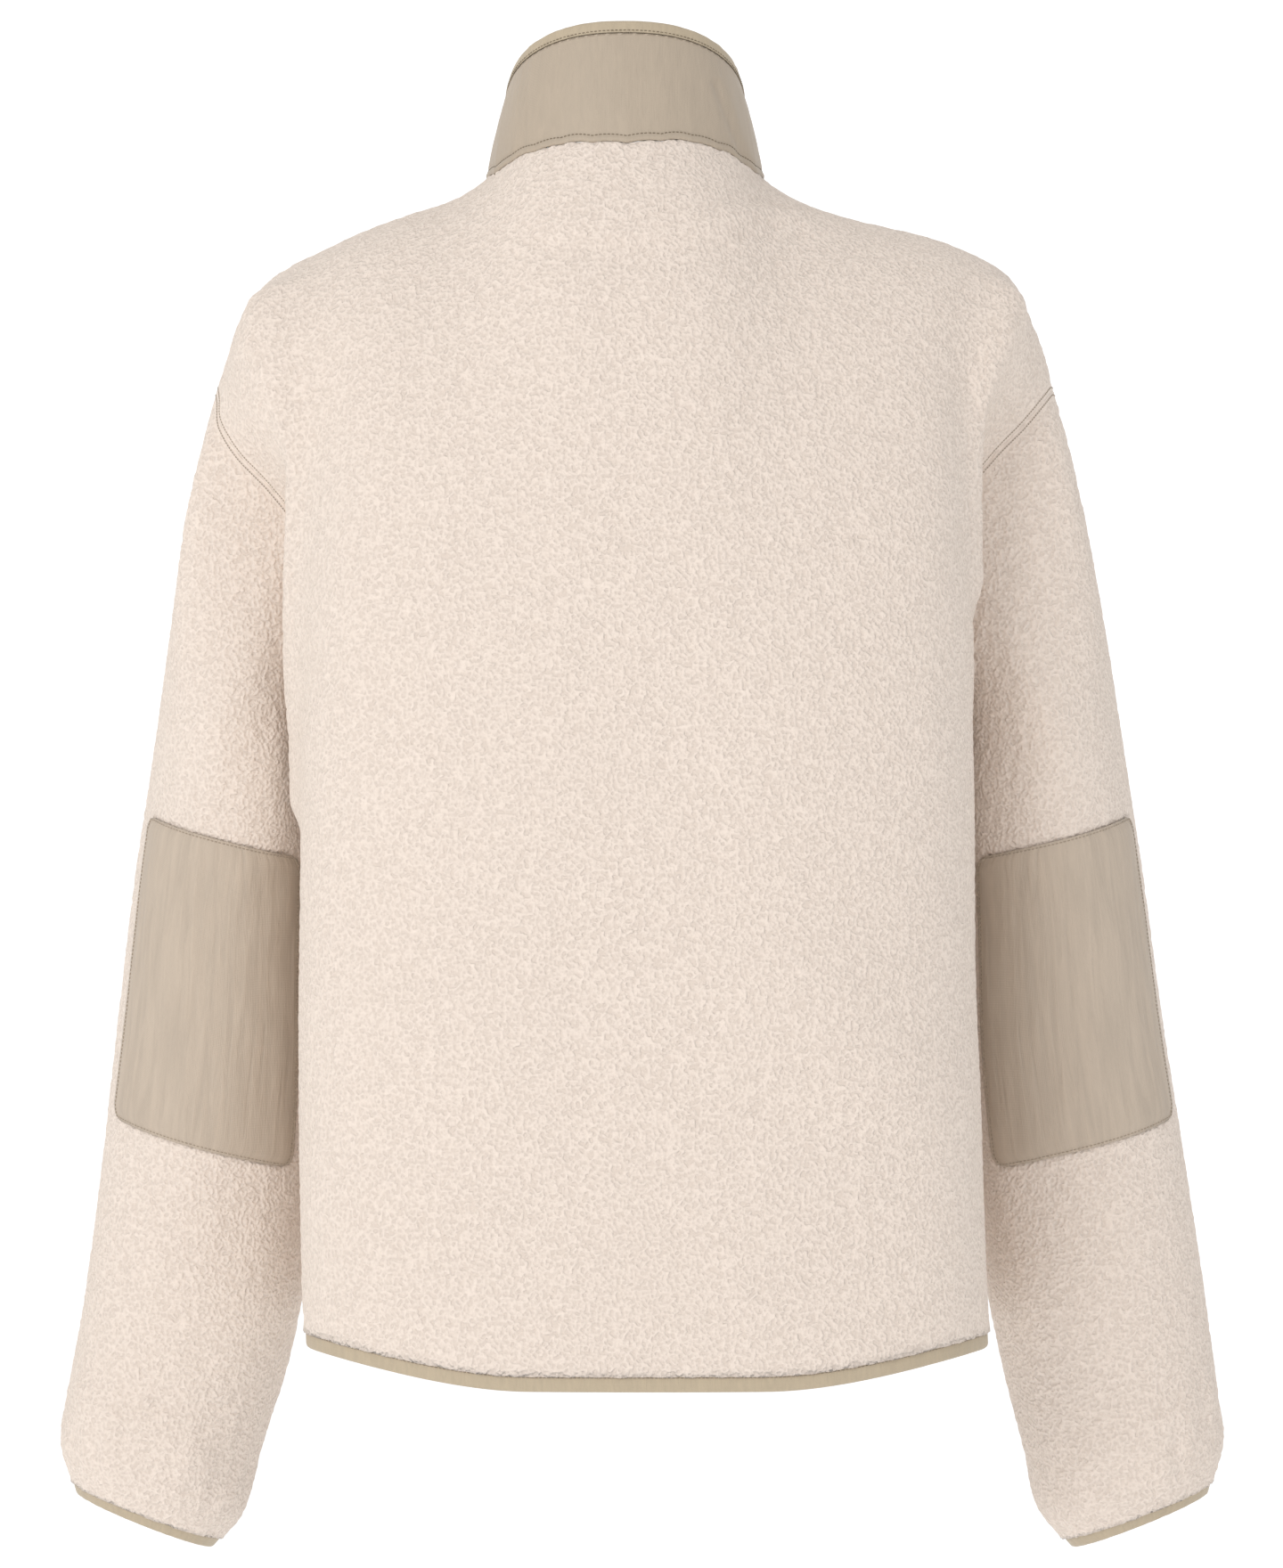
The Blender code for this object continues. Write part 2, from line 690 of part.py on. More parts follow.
def inner_face(grid, thickness):
    return grid["points"] + grid["inward"] * thickness


def slit_cells():
    """Places in the front panel's grid that the zip's slit leaves out."""
    middle = NECK_STEPS + SHOULDER_STEPS
    first = SIDE_STEPS + round(SLIT_RISE * ARMHOLE_STEPS)
    return [(row, middle) for row in range(first, SIDE_STEPS + ARMHOLE_STEPS)]


def add_hem_binding(back, front):
    outer = np.concatenate([back["points"][0], front["points"][0][::-1]])
    inner = np.concatenate([inner_face(back, FLEECE)[0], inner_face(front, FLEECE)[0][::-1]])
    above = np.concatenate([back["points"][1], front["points"][1][::-1]])
    corner = len(back["points"][0])
    for row in (outer, inner, above):
        row[corner - 1] = (row[corner - 1] + row[corner]) / 2
        row[0] = (row[0] + row[-1]) / 2
    keep = [k for k in range(len(outer)) if k not in (corner, len(outer) - 1)]
    outer, inner, above = outer[keep], inner[keep], above[keep]
    add_binding("hem_binding", outer, inner, outer - above, HEM_BINDING, True, 1)


def lines_between(first, last):
    """The grid's own lines between two places."""
    return list(range(math.ceil(first), math.floor(last) + 1))


def patch_rows(top, bottom, corner):
    """Fractional rows of a patch, closer together at its rounded corners."""
    return [top, top + corner * 0.3, top + corner, *lines_between(top + corner, bottom - corner),
            bottom - corner, bottom - corner * 0.3, bottom]


def read_grid(values, row, column):
    """Reads a grid between its points."""
    low_row, low_column = int(row), int(column)
    up, across = row - low_row, column - low_column
    high_row = min(low_row + 1, len(values) - 1)
    high_column = (low_column + 1) % values.shape[1]
    lower = values[low_row, low_column] * (1 - across) + values[low_row, high_column] * across
    upper = values[high_row, low_column] * (1 - across) + values[high_row, high_column] * across
    return lower * (1 - up) + upper * up


def patch_edge_row(drops, across):
    """Fractional row where a patch's upper or lower edge lies, 0 to 1 of the way across it."""
    drop = drops[0] + (drops[1] - drops[0]) * across
    span = SLEEVE.last() - SLEEVE.first()
    way = CAP_END + (1 - CAP_END) * (drop - SLEEVE.first()) / span
    ways = sleeve_ways()
    return float(np.interp(way, ways, np.arange(len(ways))))


def add_patch(name, grid, side):
    """An elbow patch made from the sleeve's own points, moved out."""
    top, bottom = patch_edge_row(PATCH_TOP, 0), patch_edge_row(PATCH_BOTTOM, 0)
    around = grid["points"].shape[1]
    outer_edge = PATCH_OUTER_ANGLE / (2 * math.pi) * around
    inner_edge = PATCH_INNER_ANGLE / (2 * math.pi) * around
    first_row, first_column = int(top) + 1, int(outer_edge) + 1
    down_step = np.linalg.norm(grid["points"][first_row + 1, 0] - grid["points"][first_row, 0])
    across_step = np.linalg.norm(grid["points"][first_row, first_column]
                                 - grid["points"][first_row, first_column + 1])
    corner_rows = PATCH_CORNER / down_step
    corner_columns = PATCH_CORNER / across_step
    rows = patch_rows(top, bottom, corner_rows)
    columns = [outer_edge, *lines_between(outer_edge, inner_edge), inner_edge]
    outer, inner = [], []
    for row in rows:
        reach = min((row - top) / corner_rows, (bottom - row) / corner_rows, 1.0)
        trim = corner_columns * (1 - math.sqrt(1 - (1 - reach) ** 2))
        places = [columns[0] + trim, *columns[1:-1], columns[-1] - trim]
        part = (row - top) / (bottom - top)
        slanted = []
        for place in places:
            across = (place - outer_edge) / (inner_edge - outer_edge)
            slanted.append(patch_edge_row(PATCH_TOP, across) * (1 - part)
                           + patch_edge_row(PATCH_BOTTOM, across) * part)
        base = np.array([read_grid(grid["points"], *at) for at in zip(slanted, places)])
        out = -unit(np.array([read_grid(grid["inward"], *at) for at in zip(slanted, places)]))
        inner.append(base + out * PATCH_GAP)
        outer.append(base + out * (PATCH_GAP + NYLON))
    add_wall(name, np.array(outer), np.array(inner), False, side, "nylon")


def tape_grid():
    """Points of the zip's line on the outside of the front panel and collar."""
    shares = np.array([-TAPE_SHARE, -COIL_SHARE, COIL_SHARE, TAPE_SHARE])
    rises = [SLIT_RISE - TAPE_TAIL, *[rise for rise in panel_rises() if rise >= SLIT_RISE - 1e-6]]
    rows = [panel_point(shares, rise, True) for rise in rises]
    rows += [collar_point(shares, rise, True) for rise in np.linspace(0, 1, COLLAR_STEPS + 1)[1:]]
    return np.array(rows), len(rises)


def add_tapes():
    points, panel_rows = tape_grid()
    inward = grid_normals(points, False, 1)
    depth = np.full(len(points), NYLON + TAPE_GAP)
    depth[:panel_rows] = FLEECE + TAPE_GAP
    front = points + inward * depth[:, None, None]
    back = front + inward * TAPE_WALL
    for name, part in (("zip_tape_left", slice(0, 2)), ("zip_tape_right", slice(2, 4))):
        add_wall(name, front[:, part], back[:, part], False, -1, "zip_tape")


def build_panels():
    back = make_grid(panel_grid(False), False, -1)
    front = make_grid(panel_grid(True), False, 1)
    left = make_grid(sleeve_grid(-1), True, 1)
    right = make_grid(sleeve_grid(1), True, -1)
    fold_panel(back, BACK_FOLDS, panel_places(False), panel_rises())
    fold_panel(front, FRONT_FOLDS, panel_places(True), panel_rises())
    for grid in (left, right):
        fold_sleeve(grid, sleeve_ways())
    for grid in (back, front, left, right):
        grid["inward"] = grid_normals(grid["points"], grid["wrap"], grid["turn"])
    share_normals([back, front], [left, right])
    for grid in (back, front, left, right):
        pull_back(grid)
    add_wall("back_panel", back["points"], inner_face(back, FLEECE), False, 1, "fleece")
    add_wall("front_panel", front["points"], inner_face(front, FLEECE), False, -1, "fleece",
             slit_cells())
    for side, word, grid in ((-1, "left", left), (1, "right", right)):
        inner = inner_face(grid, FLEECE)
        add_wall("sleeve_" + word, grid["points"], inner, True, side, "fleece")
        beyond = grid["points"][-1] - grid["points"][-2]
        add_binding("cuff_binding_" + word, grid["points"][-1], inner[-1], beyond,
                    CUFF_BINDING, True, -side)
        add_patch("patch_" + word, grid, side)
    add_hem_binding(back, front)


def build_collar():
    collar = make_grid(collar_grid(), False, -1)
    inner = inner_face(collar, NYLON)
    add_wall("collar", collar["points"], inner, False, 1, "nylon")
    beyond = collar["points"][-1] - collar["points"][-2]
    add_binding("collar_binding", collar["points"][-1], inner[-1], beyond,
                COLLAR_BINDING, False, -1)


def slider_frame():
    """Middle of the slider's back, and the ways out of the collar and up it."""
    above = collar_point(np.array([0.0]), SLIDER_RISE + 0.1, True)[0]
    below = collar_point(np.array([0.0]), SLIDER_RISE - 0.1, True)[0]
    up = unit((above - below) * np.array([0.0, 1.0, 1.0]))
    out = np.cross(up, [1.0, 0.0, 0.0])
    tape = (above + below) / 2 - out * (NYLON + TAPE_GAP)
    return tape + out * SLIDER_GAP, out, up


def bend_normals(line):
    """Ways sideways out of a line in a plane, longer at its bends, to keep a bar's size."""
    steps = unit(np.diff(line, axis=0))
    sides = np.stack([steps[:, 1], -steps[:, 0]], axis=-1)
    before = np.concatenate([sides[:1], sides])
    after = np.concatenate([sides, sides[-1:]])
    total = before + after
    return 2 * total / np.sum(total * total, axis=-1, keepdims=True)


def add_slider():
    back, out, up = slider_frame()
    across = np.array([1.0, 0.0, 0.0])
    corners = ((-1, -1), (1, -1), (1, 1), (-1, 1))
    sections = [[back + out * depth + across * x * SLIDER_WIDTH / 2 + up * z * SLIDER_LENGTH / 2
                 for x, z in corners] for depth in (0.0, SLIDER_THICKNESS)]
    slider = add_bar("zip_slider", np.array(sections), False, -1, "metal")
    face = back + out * SLIDER_THICKNESS
    line = ARCH.rows
    away = bend_normals(line) * ARCH_BAR / 2
    bars = []
    for place, way in zip(line, away):
        ends = [place + way, place - way]
        bars.append([face + across * x * ARCH_WIDTH / 2 + out * end[0] + up * end[1]
                     for x, end in ((-1, ends[0]), (1, ends[0]), (1, ends[1]), (-1, ends[1]))])
    arch = add_bar("slider_arch", np.array(bars), False, 1, "metal")
    arch.hide_render = True
    arch.display_type = "WIRE"
    bevel = slider.modifiers.new("edges", "BEVEL")
    bevel.width = SLIDER_BEVEL
    bevel.segments = 2
    bevel.limit_method = "ANGLE"
    join = slider.modifiers.new("arch", "BOOLEAN")
    join.operation = "UNION"
    join.solver = "EXACT"
    join.object = arch


def add_pull():
    """The pull tab, hanging from its hinge in the slider's arch along the slider's face."""
    back, out, up = slider_frame()
    across = np.array([1.0, 0.0, 0.0])
    half = PULL_THICKNESS / 2
    side = PULL.rows
    rest = side[-2:0:-1] * np.array([-1, 1, -1, 1])
    sections = []
    for eye_x, eye_z, edge_x, edge_z in np.concatenate([side, rest]):
        eye = across * eye_x - up * eye_z
        edge = across * edge_x - up * edge_z
        sections.append([eye + out * half, edge + out * half, edge - out * half, eye - out * half])
    pull = add_bar("zip_pull", np.array(sections), True, 1, "metal")
    pull.location = back + out * (SLIDER_THICKNESS + PULL_OUT)


def main():
    remove_everything()
    build_panels()
    build_collar()
    add_tapes()
    add_slider()
    add_pull()


main()
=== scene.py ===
"""Sherpa fleece pullover: piled fleece, crinkled nylon, sewing, zip, stage and camera.

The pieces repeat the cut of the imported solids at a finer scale. Metres, +Z up; the back
faces -Y. A place on a panel is a share, from -1 at the left edge to +1 at the right, and
a rise, from -1 at the hem through 0 at the underarm to 1 at the top edge. A place on a
sleeve is an angle, from its outer side backwards, and a way, from the armhole to the cuff.
"""

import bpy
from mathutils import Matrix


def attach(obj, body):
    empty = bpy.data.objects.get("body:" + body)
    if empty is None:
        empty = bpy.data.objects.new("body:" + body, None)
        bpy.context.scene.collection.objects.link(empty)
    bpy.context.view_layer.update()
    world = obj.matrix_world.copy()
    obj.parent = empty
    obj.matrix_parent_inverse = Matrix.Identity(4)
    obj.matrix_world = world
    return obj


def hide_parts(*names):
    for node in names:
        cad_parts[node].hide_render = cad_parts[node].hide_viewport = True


bl_info = {
    "name": "Sherpa fleece pullover",
    "version": (1, 0, 0),
    "blender": (4, 5, 0),
    "location": "3D View > Sidebar > Pullover",
    "description": "Builds the cloth, sewing, zip and stage of a fleece pullover",
    "category": "Add Mesh",
}

import math

import bpy
import numpy as np
from bpy.props import FloatProperty, FloatVectorProperty, PointerProperty

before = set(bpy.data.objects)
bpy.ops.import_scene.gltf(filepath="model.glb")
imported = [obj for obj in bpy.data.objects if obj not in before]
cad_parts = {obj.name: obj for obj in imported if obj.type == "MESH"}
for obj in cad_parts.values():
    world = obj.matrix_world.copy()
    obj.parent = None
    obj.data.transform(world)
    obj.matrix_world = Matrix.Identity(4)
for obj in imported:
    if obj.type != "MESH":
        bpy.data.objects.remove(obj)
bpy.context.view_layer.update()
BODY = "garment"

# ---- sizes of the cut, in metres ----

FLEECE = 0.0040
NYLON = 0.0012
TAPE_WALL = 0.0010
BINDING_WALL = 0.0026
PATCH_GAP = 0.0006
TAPE_GAP = 0.0008
SEAM_GAP = 0.0003
SIDE_SEAM_Y = 0.025
BACK_SQUARENESS = 2.6
FRONT_SQUARENESS = 2.1
NECK_SHARE = 0.29
NECK_HALF_WIDTH = 0.0715
NECK_BACK = 0.075
NECK_FRONT = 0.083
SLIT_SHARE = 0.021
SLIT_RISE = 5 / 12
UNDERARM_SWING = 0.55
UNDERARM_LEAVE = (0.060, 0.190, 0.130)
PANEL_REACH = (0.21, 0.29)
SAG_START = 0.20
SAG_SPAN = 0.45
NECK_STEPS = 6
NECK_CROWDING = 1.45
SHOULDER_STEPS = 7
SIDE_STEPS = 10
ARMHOLE_STEPS = 12
CAP_STEPS = 8
ARM_STEPS = 17
COLLAR_STEPS = 5
CUFF_CROWDING = 1.3
CAP_END = 0.30
LEAVE_OUT = (0.12, 0.45, 0.25)
LEAVE_FORWARD = 0.15
LEAVE_DOWN = 0.88
RING_STEP = 0.01
SLEEVE_SQUARENESS = 2.15
SLEEVE_REACH = (0.36, 0.49)
COLLAR_HALF_WIDTH = 0.0615
COLLAR_SQUARENESS = 2.3
COLLAR_HALF_DEPTH = 0.0700
COLLAR_FORWARD = 0.0080
COLLAR_HEIGHT = 0.0350
COLLAR_TILT_RISE = 0.0285
COLLAR_BULGE = 0.0015
HEM_BINDING = 0.0085
CUFF_BINDING = 0.0085
COLLAR_BINDING = 0.0070
PATCH_OUTER_ANGLE = math.radians(27)
PATCH_INNER_ANGLE = math.radians(140)
PATCH_TOP = (0.3365, 0.3430)
PATCH_BOTTOM = (0.4975, 0.5035)
PATCH_CORNER = 0.0085
TAPE_SHARE = 0.050
COIL_SHARE = 0.003
TAPE_TAIL = 0.03
FOLD_FADE = 0.06
TUCK_FROM = (0.42, 0.84)

# ---- how the lines of the cut are worked out ----

SECTION_STEPS = 721
SWING_POWER = 1.5
TRIM_CROWDING = 1.5
HALVINGS = 36
NEARLY = 1e-6
SMALL_STEP = 1e-3
CORNER_REACH = 0.16
CORNER_RISES = (0.3, 0.10)
CORNER_PASSES = 160
NECK_BLEND = (0.16, 0.10)

# ---- low relief of the cloth, in metres or in shares and rises ----

SOFT_FOLDS = 0.0012
SOFT_FOLD_SCALE = (5.0, 1.3)
SOFT_FOLD_CURL = (2.0, 0.5)
PANEL_STRETCH = 1.4
SLEEVE_STRETCH = (0.3, 0.4, 2.0)
ROLL_HEIGHT = 0.0045
ROLL_EDGE = 0.015
ROLL_DEPTH = 0.15
ROLL_MIDDLE = 0.32
ROLL_REACH = 0.26
CUFF_PUCKERS = 0.0022
PUCKER_SCALE = (5.5, 9.0)
PUCKER_START = 0.84
PUCKER_SPAN = 0.12
PILE_CURL = (1.1, 0.45)
PILE_LUMPS = 0.85
PILE_FRAY = (0.25, 0.55)
PILE_BASE = 0.2
PILE_FADE = 0.006
LIP_HANG = 0.0004
LIP_UNDER = (0.0006, 0.3)
LIP_RAGGED = (0.65, 0.35, 0.005)
SEAM_LIFT = 0.25
SEAM_LIFT_REACH = 0.004
SHOULDER_DIP = 0.5
SHOULDER_DIP_REACH = 0.003
SHOULDER_FADE = 0.05
ARMHOLE_FADE = 0.04
NO_SEAM = 0.02
UNDER_PATCH = (0.6, 0.002)
PATCH_RIM = 0.5
PATCH_RIM_REACH = 0.0025
LINING_PILE = 0.4
CRINKLES = ((0.7, 0.0042, 0.026), (0.3, 0.0019, 0.0085))
CRINKLE_CURL = (1.7, 0.5)
CREASE = ((0.046, 0.0395), (0.0605, 0.0025))
COLLAR_ENDS_FADE = 0.004
COLLAR_FOOT_FADE = 0.003
COLLAR_TOP_FADE = 0.002
PATCH_CRINKLE = 1.2
PATCH_FADE = 0.003
PATCH_EDGE_DIP = (0.0003, 0.0009)
PATCH_WAVES = (0.0007, 0.022, 0.012)
BINDING_PUCKERS = (0.00022, 0.0036, 0.35, 0.001)
BINDING_ROW = 0.0006
STITCHES_SUNK = 0.0002

# ---- rows of stitches, in from an edge, and the dips that they pull in a cloth ----

ARMHOLE_ROWS = 0.0020
COLLAR_STITCHES = 0.0040
PATCH_STITCHES = 0.0021
BINDING_STITCHES = 0.0014
COLLAR_DIP = (0.0006, 0.0009)
COLLAR_ROLL = (0.0019, 0.0006, 0.0014)
CREASE_DIP = (0.0012, 0.0024)
CREASE_SWELL = (0.004, 0.0005, 0.003)
PATCH_DIP = (0.00045, 0.0011)
BINDING_DIP = (0.00022, 0.0007)
AHEAD = 0.0004
STITCH_SIDES = 5
STITCH_STATIONS = ((-0.36, -0.6, 0.75), (-0.22, 0.55, 1.0), (0.22, 0.55, 1.0),
                   (0.36, -0.6, 0.75))

# ---- the zip's teeth, as places along a tooth and the sizes of its sections there ----

TOOTH_PITCH = 0.00075
TOOTH_THICK = 0.00052
TOOTH_FLATNESS = 0.8
TOOTH_LIFT = 0.0004
TOOTH_SIDES = 6
TOOTH_STATIONS = ((-0.0009, 0.75), (-0.0006, 1.15), (0.0004, 0.9), (0.0021, 0.9),
                  (0.0024, 0.6))
TAPE_COLUMNS = 9
TAPE_CELLS = 4

# ---- how finely the cloth is made: cells between two lines of the cut, and of its lining ----

PANEL_CELLS = (15, 10)
SLEEVE_CELLS = (12, 8)
LINING_ROOM = 0.0004
LINING_CELLS = {"panel": (5, 5), "sleeve": (4, 4)}
NYLON_LINING = (4, 4)
COLLAR_ROWS = 44
COLLAR_CELLS = 12
PATCH_CELLS = (116, 80)
PATCH_RADIUS = 0.055
BINDING_SIDE = 6
BINDING_FOLD = 6
LINE_CELLS = 24

# ---- stage ----

FLOOR = -0.95
FLOOR_ENDS = (-7.0, 6.0)
SWEEP_RADIUS = 1.2
SWEEP_HALF_WIDTH = 7.0
SWEEP_PARTS = (0.35, 0.65)
WALL_HEIGHT = 5.0
PAPER_GLOW = 0.30
AIM = (0.0, 0.0, -0.3)
KEY_LIGHT = ((-2.6, -3.7, 1.35), 2.2, (1.0, 0.98, 0.95))
FILL_LIGHT = ((1.4, -3.2, 0.2), 2.4, (1.0, 0.95, 0.92))
CAMERA_PLACE = (0.0084, -2.6, -0.315)
CAMERA_LENS = 115.6
CAMERA_SENSOR = 36.0

# ---- what has been made, by name ----

MADE = {}
FINISHED = {}
NECK_LINES = {}


class Table:
    """Rows of sizes with named columns, read between the rows on a smooth curve."""

    def __init__(self, names, *rows):
        self.names = names.split()
        self.rows = np.array(rows)

    def read(self, name, at):
        keys = self.rows[:, 0]
        values = self.rows[:, self.names.index(name)]
        slopes = np.gradient(values, keys)
        row = np.clip(np.searchsorted(keys, at, side="right") - 1, 0, len(keys) - 2)
        step = keys[row + 1] - keys[row]
        part = (np.asarray(at) - keys[row]) / step
        return hermite(part, values[row], slopes[row] * step,
                       values[row + 1], slopes[row + 1] * step)

    def first(self):
        return self.rows[0, 0]

    def last(self):
        return self.rows[-1, 0]


def hermite(part, start, leave, end, arrive):
    """A cubic from start to end with the directions it leaves and arrives in."""
    square = part * part
    cube = square * part
    return ((2 * cube - 3 * square + 1) * start + (cube - 2 * square + part) * leave
            + (3 * square - 2 * cube) * end + (cube - square) * arrive)


TORSO = Table(
    "height half_width centre_x widest_y back_depth front_depth back_sag front_sag",
    (-0.5905, 0.1735, 0.0110, -0.040, 0.096, 0.168, 0.014, 0.004),
    (-0.500, 0.1722, 0.0085, -0.040, 0.095, 0.168, 0.016, 0.008),
    (-0.400, 0.1710, 0.0067, -0.041, 0.094, 0.170, 0.022, 0.018),
    (-0.292, 0.1700, 0.0060, -0.042, 0.092, 0.172, 0.030, 0.030),
)
SHOULDER = Table(
    "share left right height",
    (-0.100, 0.0250, -0.0250, 0.060),
    (0.000, 0.0000, 0.0000, 0.069),
    (0.100, -0.0250, 0.0250, 0.060),
    (0.200, -0.0500, 0.0500, 0.031),
    (0.290, -0.0715, 0.0715, -0.003),
    (0.371, -0.0890, 0.0880, -0.014),
    (0.456, -0.1110, 0.1080, -0.0215),
    (0.628, -0.1520, 0.1705, -0.038),
    (0.763, -0.1845, 0.2010, -0.056),
    (0.854, -0.1990, 0.2105, -0.076),
    (0.928, -0.2055, 0.2175, -0.094),
    (1.000, -0.2115, 0.2220, -0.112),
)
CROWN = Table(
    "share seam_y outward back front upward",
    (-0.15, 0.000, 0.000, 0.335, 0.270, 0.050),
    (0.00, 0.000, 0.000, 0.335, 0.270, 0.060),
    (0.15, 0.000, 0.000, 0.335, 0.270, 0.050),
    (0.29, 0.000, 0.000, 0.330, 0.260, 0.030),
    (0.60, 0.004, 0.010, 0.310, 0.240, 0.000),
    (0.85, 0.008, 0.030, 0.250, 0.210, -0.010),
    (1.00, 0.010, 0.040, 0.230, 0.200, -0.020),
)
TUCK = Table(
    "rise left right forward",
    (0.000, 0.0000, 0.0000, 0.000),
    (0.200, 0.0060, 0.0065, 0.005),
    (0.333, 0.0120, 0.0175, 0.012),
    (0.417, 0.0160, 0.0220, 0.016),
    (0.500, 0.0175, 0.0255, 0.017),
    (0.583, 0.0085, 0.0255, 0.018),
    (0.667, -0.0035, 0.0165, 0.018),
    (0.750, -0.0080, 0.0065, 0.016),
    (0.850, -0.0045, 0.0005, 0.009),
    (1.000, 0.0000, 0.0000, 0.000),
)
SLEEVE = Table(
    "drop left right half_width forward half_depth tilt lean",
    (0.310, -0.2025, 0.2165, 0.0465, 0.0480, 0.0630, 10.0, 4.0),
    (0.371, -0.2085, 0.2230, 0.0500, 0.0560, 0.0610, 11.0, 4.0),
    (0.443, -0.2130, 0.2290, 0.0545, 0.0620, 0.0580, 12.0, 4.0),
    (0.525, -0.2205, 0.2400, 0.0570, 0.0650, 0.0545, 12.0, 4.0),
    (0.607, -0.2335, 0.2535, 0.0560, 0.0680, 0.0515, 13.0, 3.0),
    (0.655, -0.2450, 0.2625, 0.0530, 0.0690, 0.0490, 16.0, 1.0),
    (0.686, -0.2510, 0.2685, 0.0500, 0.0700, 0.0450, 20.5, -1.0),
    (0.6985, -0.2535, 0.2710, 0.0430, 0.0705, 0.0385, 21.0, -3.0),
)
BACK_FOLDS = Table(
    "from_across from_up to_across to_up half_width height",
    (-0.840, -0.10, -0.760, 0.80, 0.014, 0.0085),
    (0.820, 0.32, 0.770, 0.82, 0.014, 0.0085),
    (-0.170, 0.80, 0.330, 0.79, 0.009, -0.0015),
    (0.300, -0.35, 0.440, -0.55, 0.022, 0.0030),
    (-0.520, -0.45, -0.480, -0.90, 0.028, 0.0030),
    (0.560, -0.60, 0.540, -0.95, 0.026, 0.0030),
)
ROLL = Table(
    "across up",
    (0.060, 0.872),
    (0.164, 0.868),
    (0.278, 0.850),
    (0.330, 0.856),
    (0.377, 0.874),
    (0.456, 0.900),
    (0.560, 0.915),
)
FRONT_FOLDS = Table(
    "from_across from_up to_across to_up half_width height",
    (-0.880, 0.20, -0.840, 0.75, 0.015, 0.0060),
    (0.880, 0.15, 0.830, 0.78, 0.015, 0.0060),
    (-0.420, 0.30, -0.560, -0.30, 0.026, 0.0040),
    (0.380, 0.15, 0.540, -0.45, 0.026, 0.0040),
    (-0.300, -0.50, -0.340, -0.92, 0.026, 0.0035),
    (0.240, -0.45, 0.200, -0.90, 0.026, 0.0030),
)
SLEEVE_FOLDS = Table(
    "from_across from_up to_across to_up half_width height",
    (0.560, 0.52, 0.720, 0.46, 0.012, 0.0045),
    (0.540, 0.62, 0.700, 0.58, 0.012, 0.0040),
    (0.700, 0.20, 0.640, 0.36, 0.016, 0.0040),
    (0.300, 0.08, 0.220, 0.26, 0.016, 0.0025),
    (0.620, 0.90, 0.860, 0.93, 0.010, 0.0035),
    (0.090, 0.905, 0.330, 0.93, 0.010, 0.0020),
)


# ---- settings a user would change ----

def length(name, default, description):
    return FloatProperty(name=name, default=default, min=0.0, precision=5, subtype="DISTANCE",
                         unit="LENGTH", description=description)


def colour(name, default, description):
    return FloatVectorProperty(name=name, default=default, size=3, min=0.0, max=1.0,
                               subtype="COLOR", description=description)


class FleeceSettings(bpy.types.PropertyGroup):
    nub: length("Nub", 0.0046, "Distance from one curl of the pile to the next")
    height: length("Pile height", 0.0007, "How far the curls stand up from the hollows")
    overhang: length("Overhang", 0.0014, "How far the pile hangs over the bindings")
    lit: colour("Curls", (0.83, 0.722, 0.64), "Colour of the tops of the curls")
    # Hollows is painted shade: it darkens the colour between the curls in place of the shade that
    # falls in the pile's creases.
    hollow: colour("Hollows", (0.60, 0.505, 0.435), "Colour between the curls")


class NylonSettings(bpy.types.PropertyGroup):
    crinkle: length("Crinkle", 0.00028, "How far the crinkles stand out")
    colour: colour("Nylon", (0.505, 0.42, 0.336), "Colour of the elbow patches")
    collar: colour("Collar", (0.455, 0.377, 0.292), "Colour of the collar")
    binding: colour("Binding", (0.485, 0.40, 0.285), "Colour of the bindings")
    strip: length("Binding strip", 0.0006, "Thickness of the folded strip")


class SewingSettings(bpy.types.PropertyGroup):
    pitch: length("Pitch", 0.0021, "Distance from one stitch to the next")
    thread: length("Thread", 0.00026, "Half the thickness of the thread")
    fine: length("Fine pitch", 0.0015, "Distance between the stitches round the armholes")
    # The collar's thread colour is partly the thread's own and partly painted shade: it is
    # darkened in place of the shade in the grooves that its stitches pull.
    colour: colour("Thread", (0.22, 0.17, 0.11), "Colour of the thread on the collar")
    pale: colour("Pale thread", (0.40, 0.32, 0.24), "Colour of all other thread")


class StageSettings(bpy.types.PropertyGroup):
    ground: colour("Ground", (0.90, 0.90, 0.90), "Colour of the floor and the backdrop")
    key: FloatProperty(name="Key", default=64.0, unit="POWER", description="Light from the left")
    fill: FloatProperty(name="Fill", default=2.0, unit="POWER", description="Light from the right")
    sky: FloatProperty(name="Sky", default=0.745, min=0.0, description="Light from all round")


SETTINGS = (("fleece", FleeceSettings), ("nylon", NylonSettings), ("sewing", SewingSettings),
            ("stage", StageSettings))


def settings(name):
    return getattr(bpy.context.scene, "pullover_" + name)


# ---- numbers and noise ----

def unit(vectors):
    return vectors / np.linalg.norm(vectors, axis=-1, keepdims=True)


def ease(part):
    """Goes from 0 to 1 and is level at both ends."""
    part = np.clip(part, 0.0, 1.0)
    return part * part * (3 - 2 * part)


def signed_power(value, power):
    return np.sign(value) * np.abs(value) ** power


def along(points, axis, wrap):
    """Direction of a grid along one of its axes."""
    if wrap:
        return np.roll(points, -1, axis) - np.roll(points, 1, axis)
    return np.gradient(points, axis=axis)


def grid_normals(points, wrap, turn):
    """Unit vectors that point into the wall from each point of its outer face."""
    return unit(np.cross(along(points, 1, wrap), along(points, 0, False))) * turn


CELL_PRIMES = (73856093, 19349663, 83492791)
SEED_PRIME = 668265263
SHUFFLES = ((15, 739982445), (12, 695872825))
LOW_BITS = 0x7FFFFFFF
LAST_BITS = 0xFFFF
NOISE_GAIN = 1.6
NUB_FALL = 1.9
FAR_AWAY = 9.0


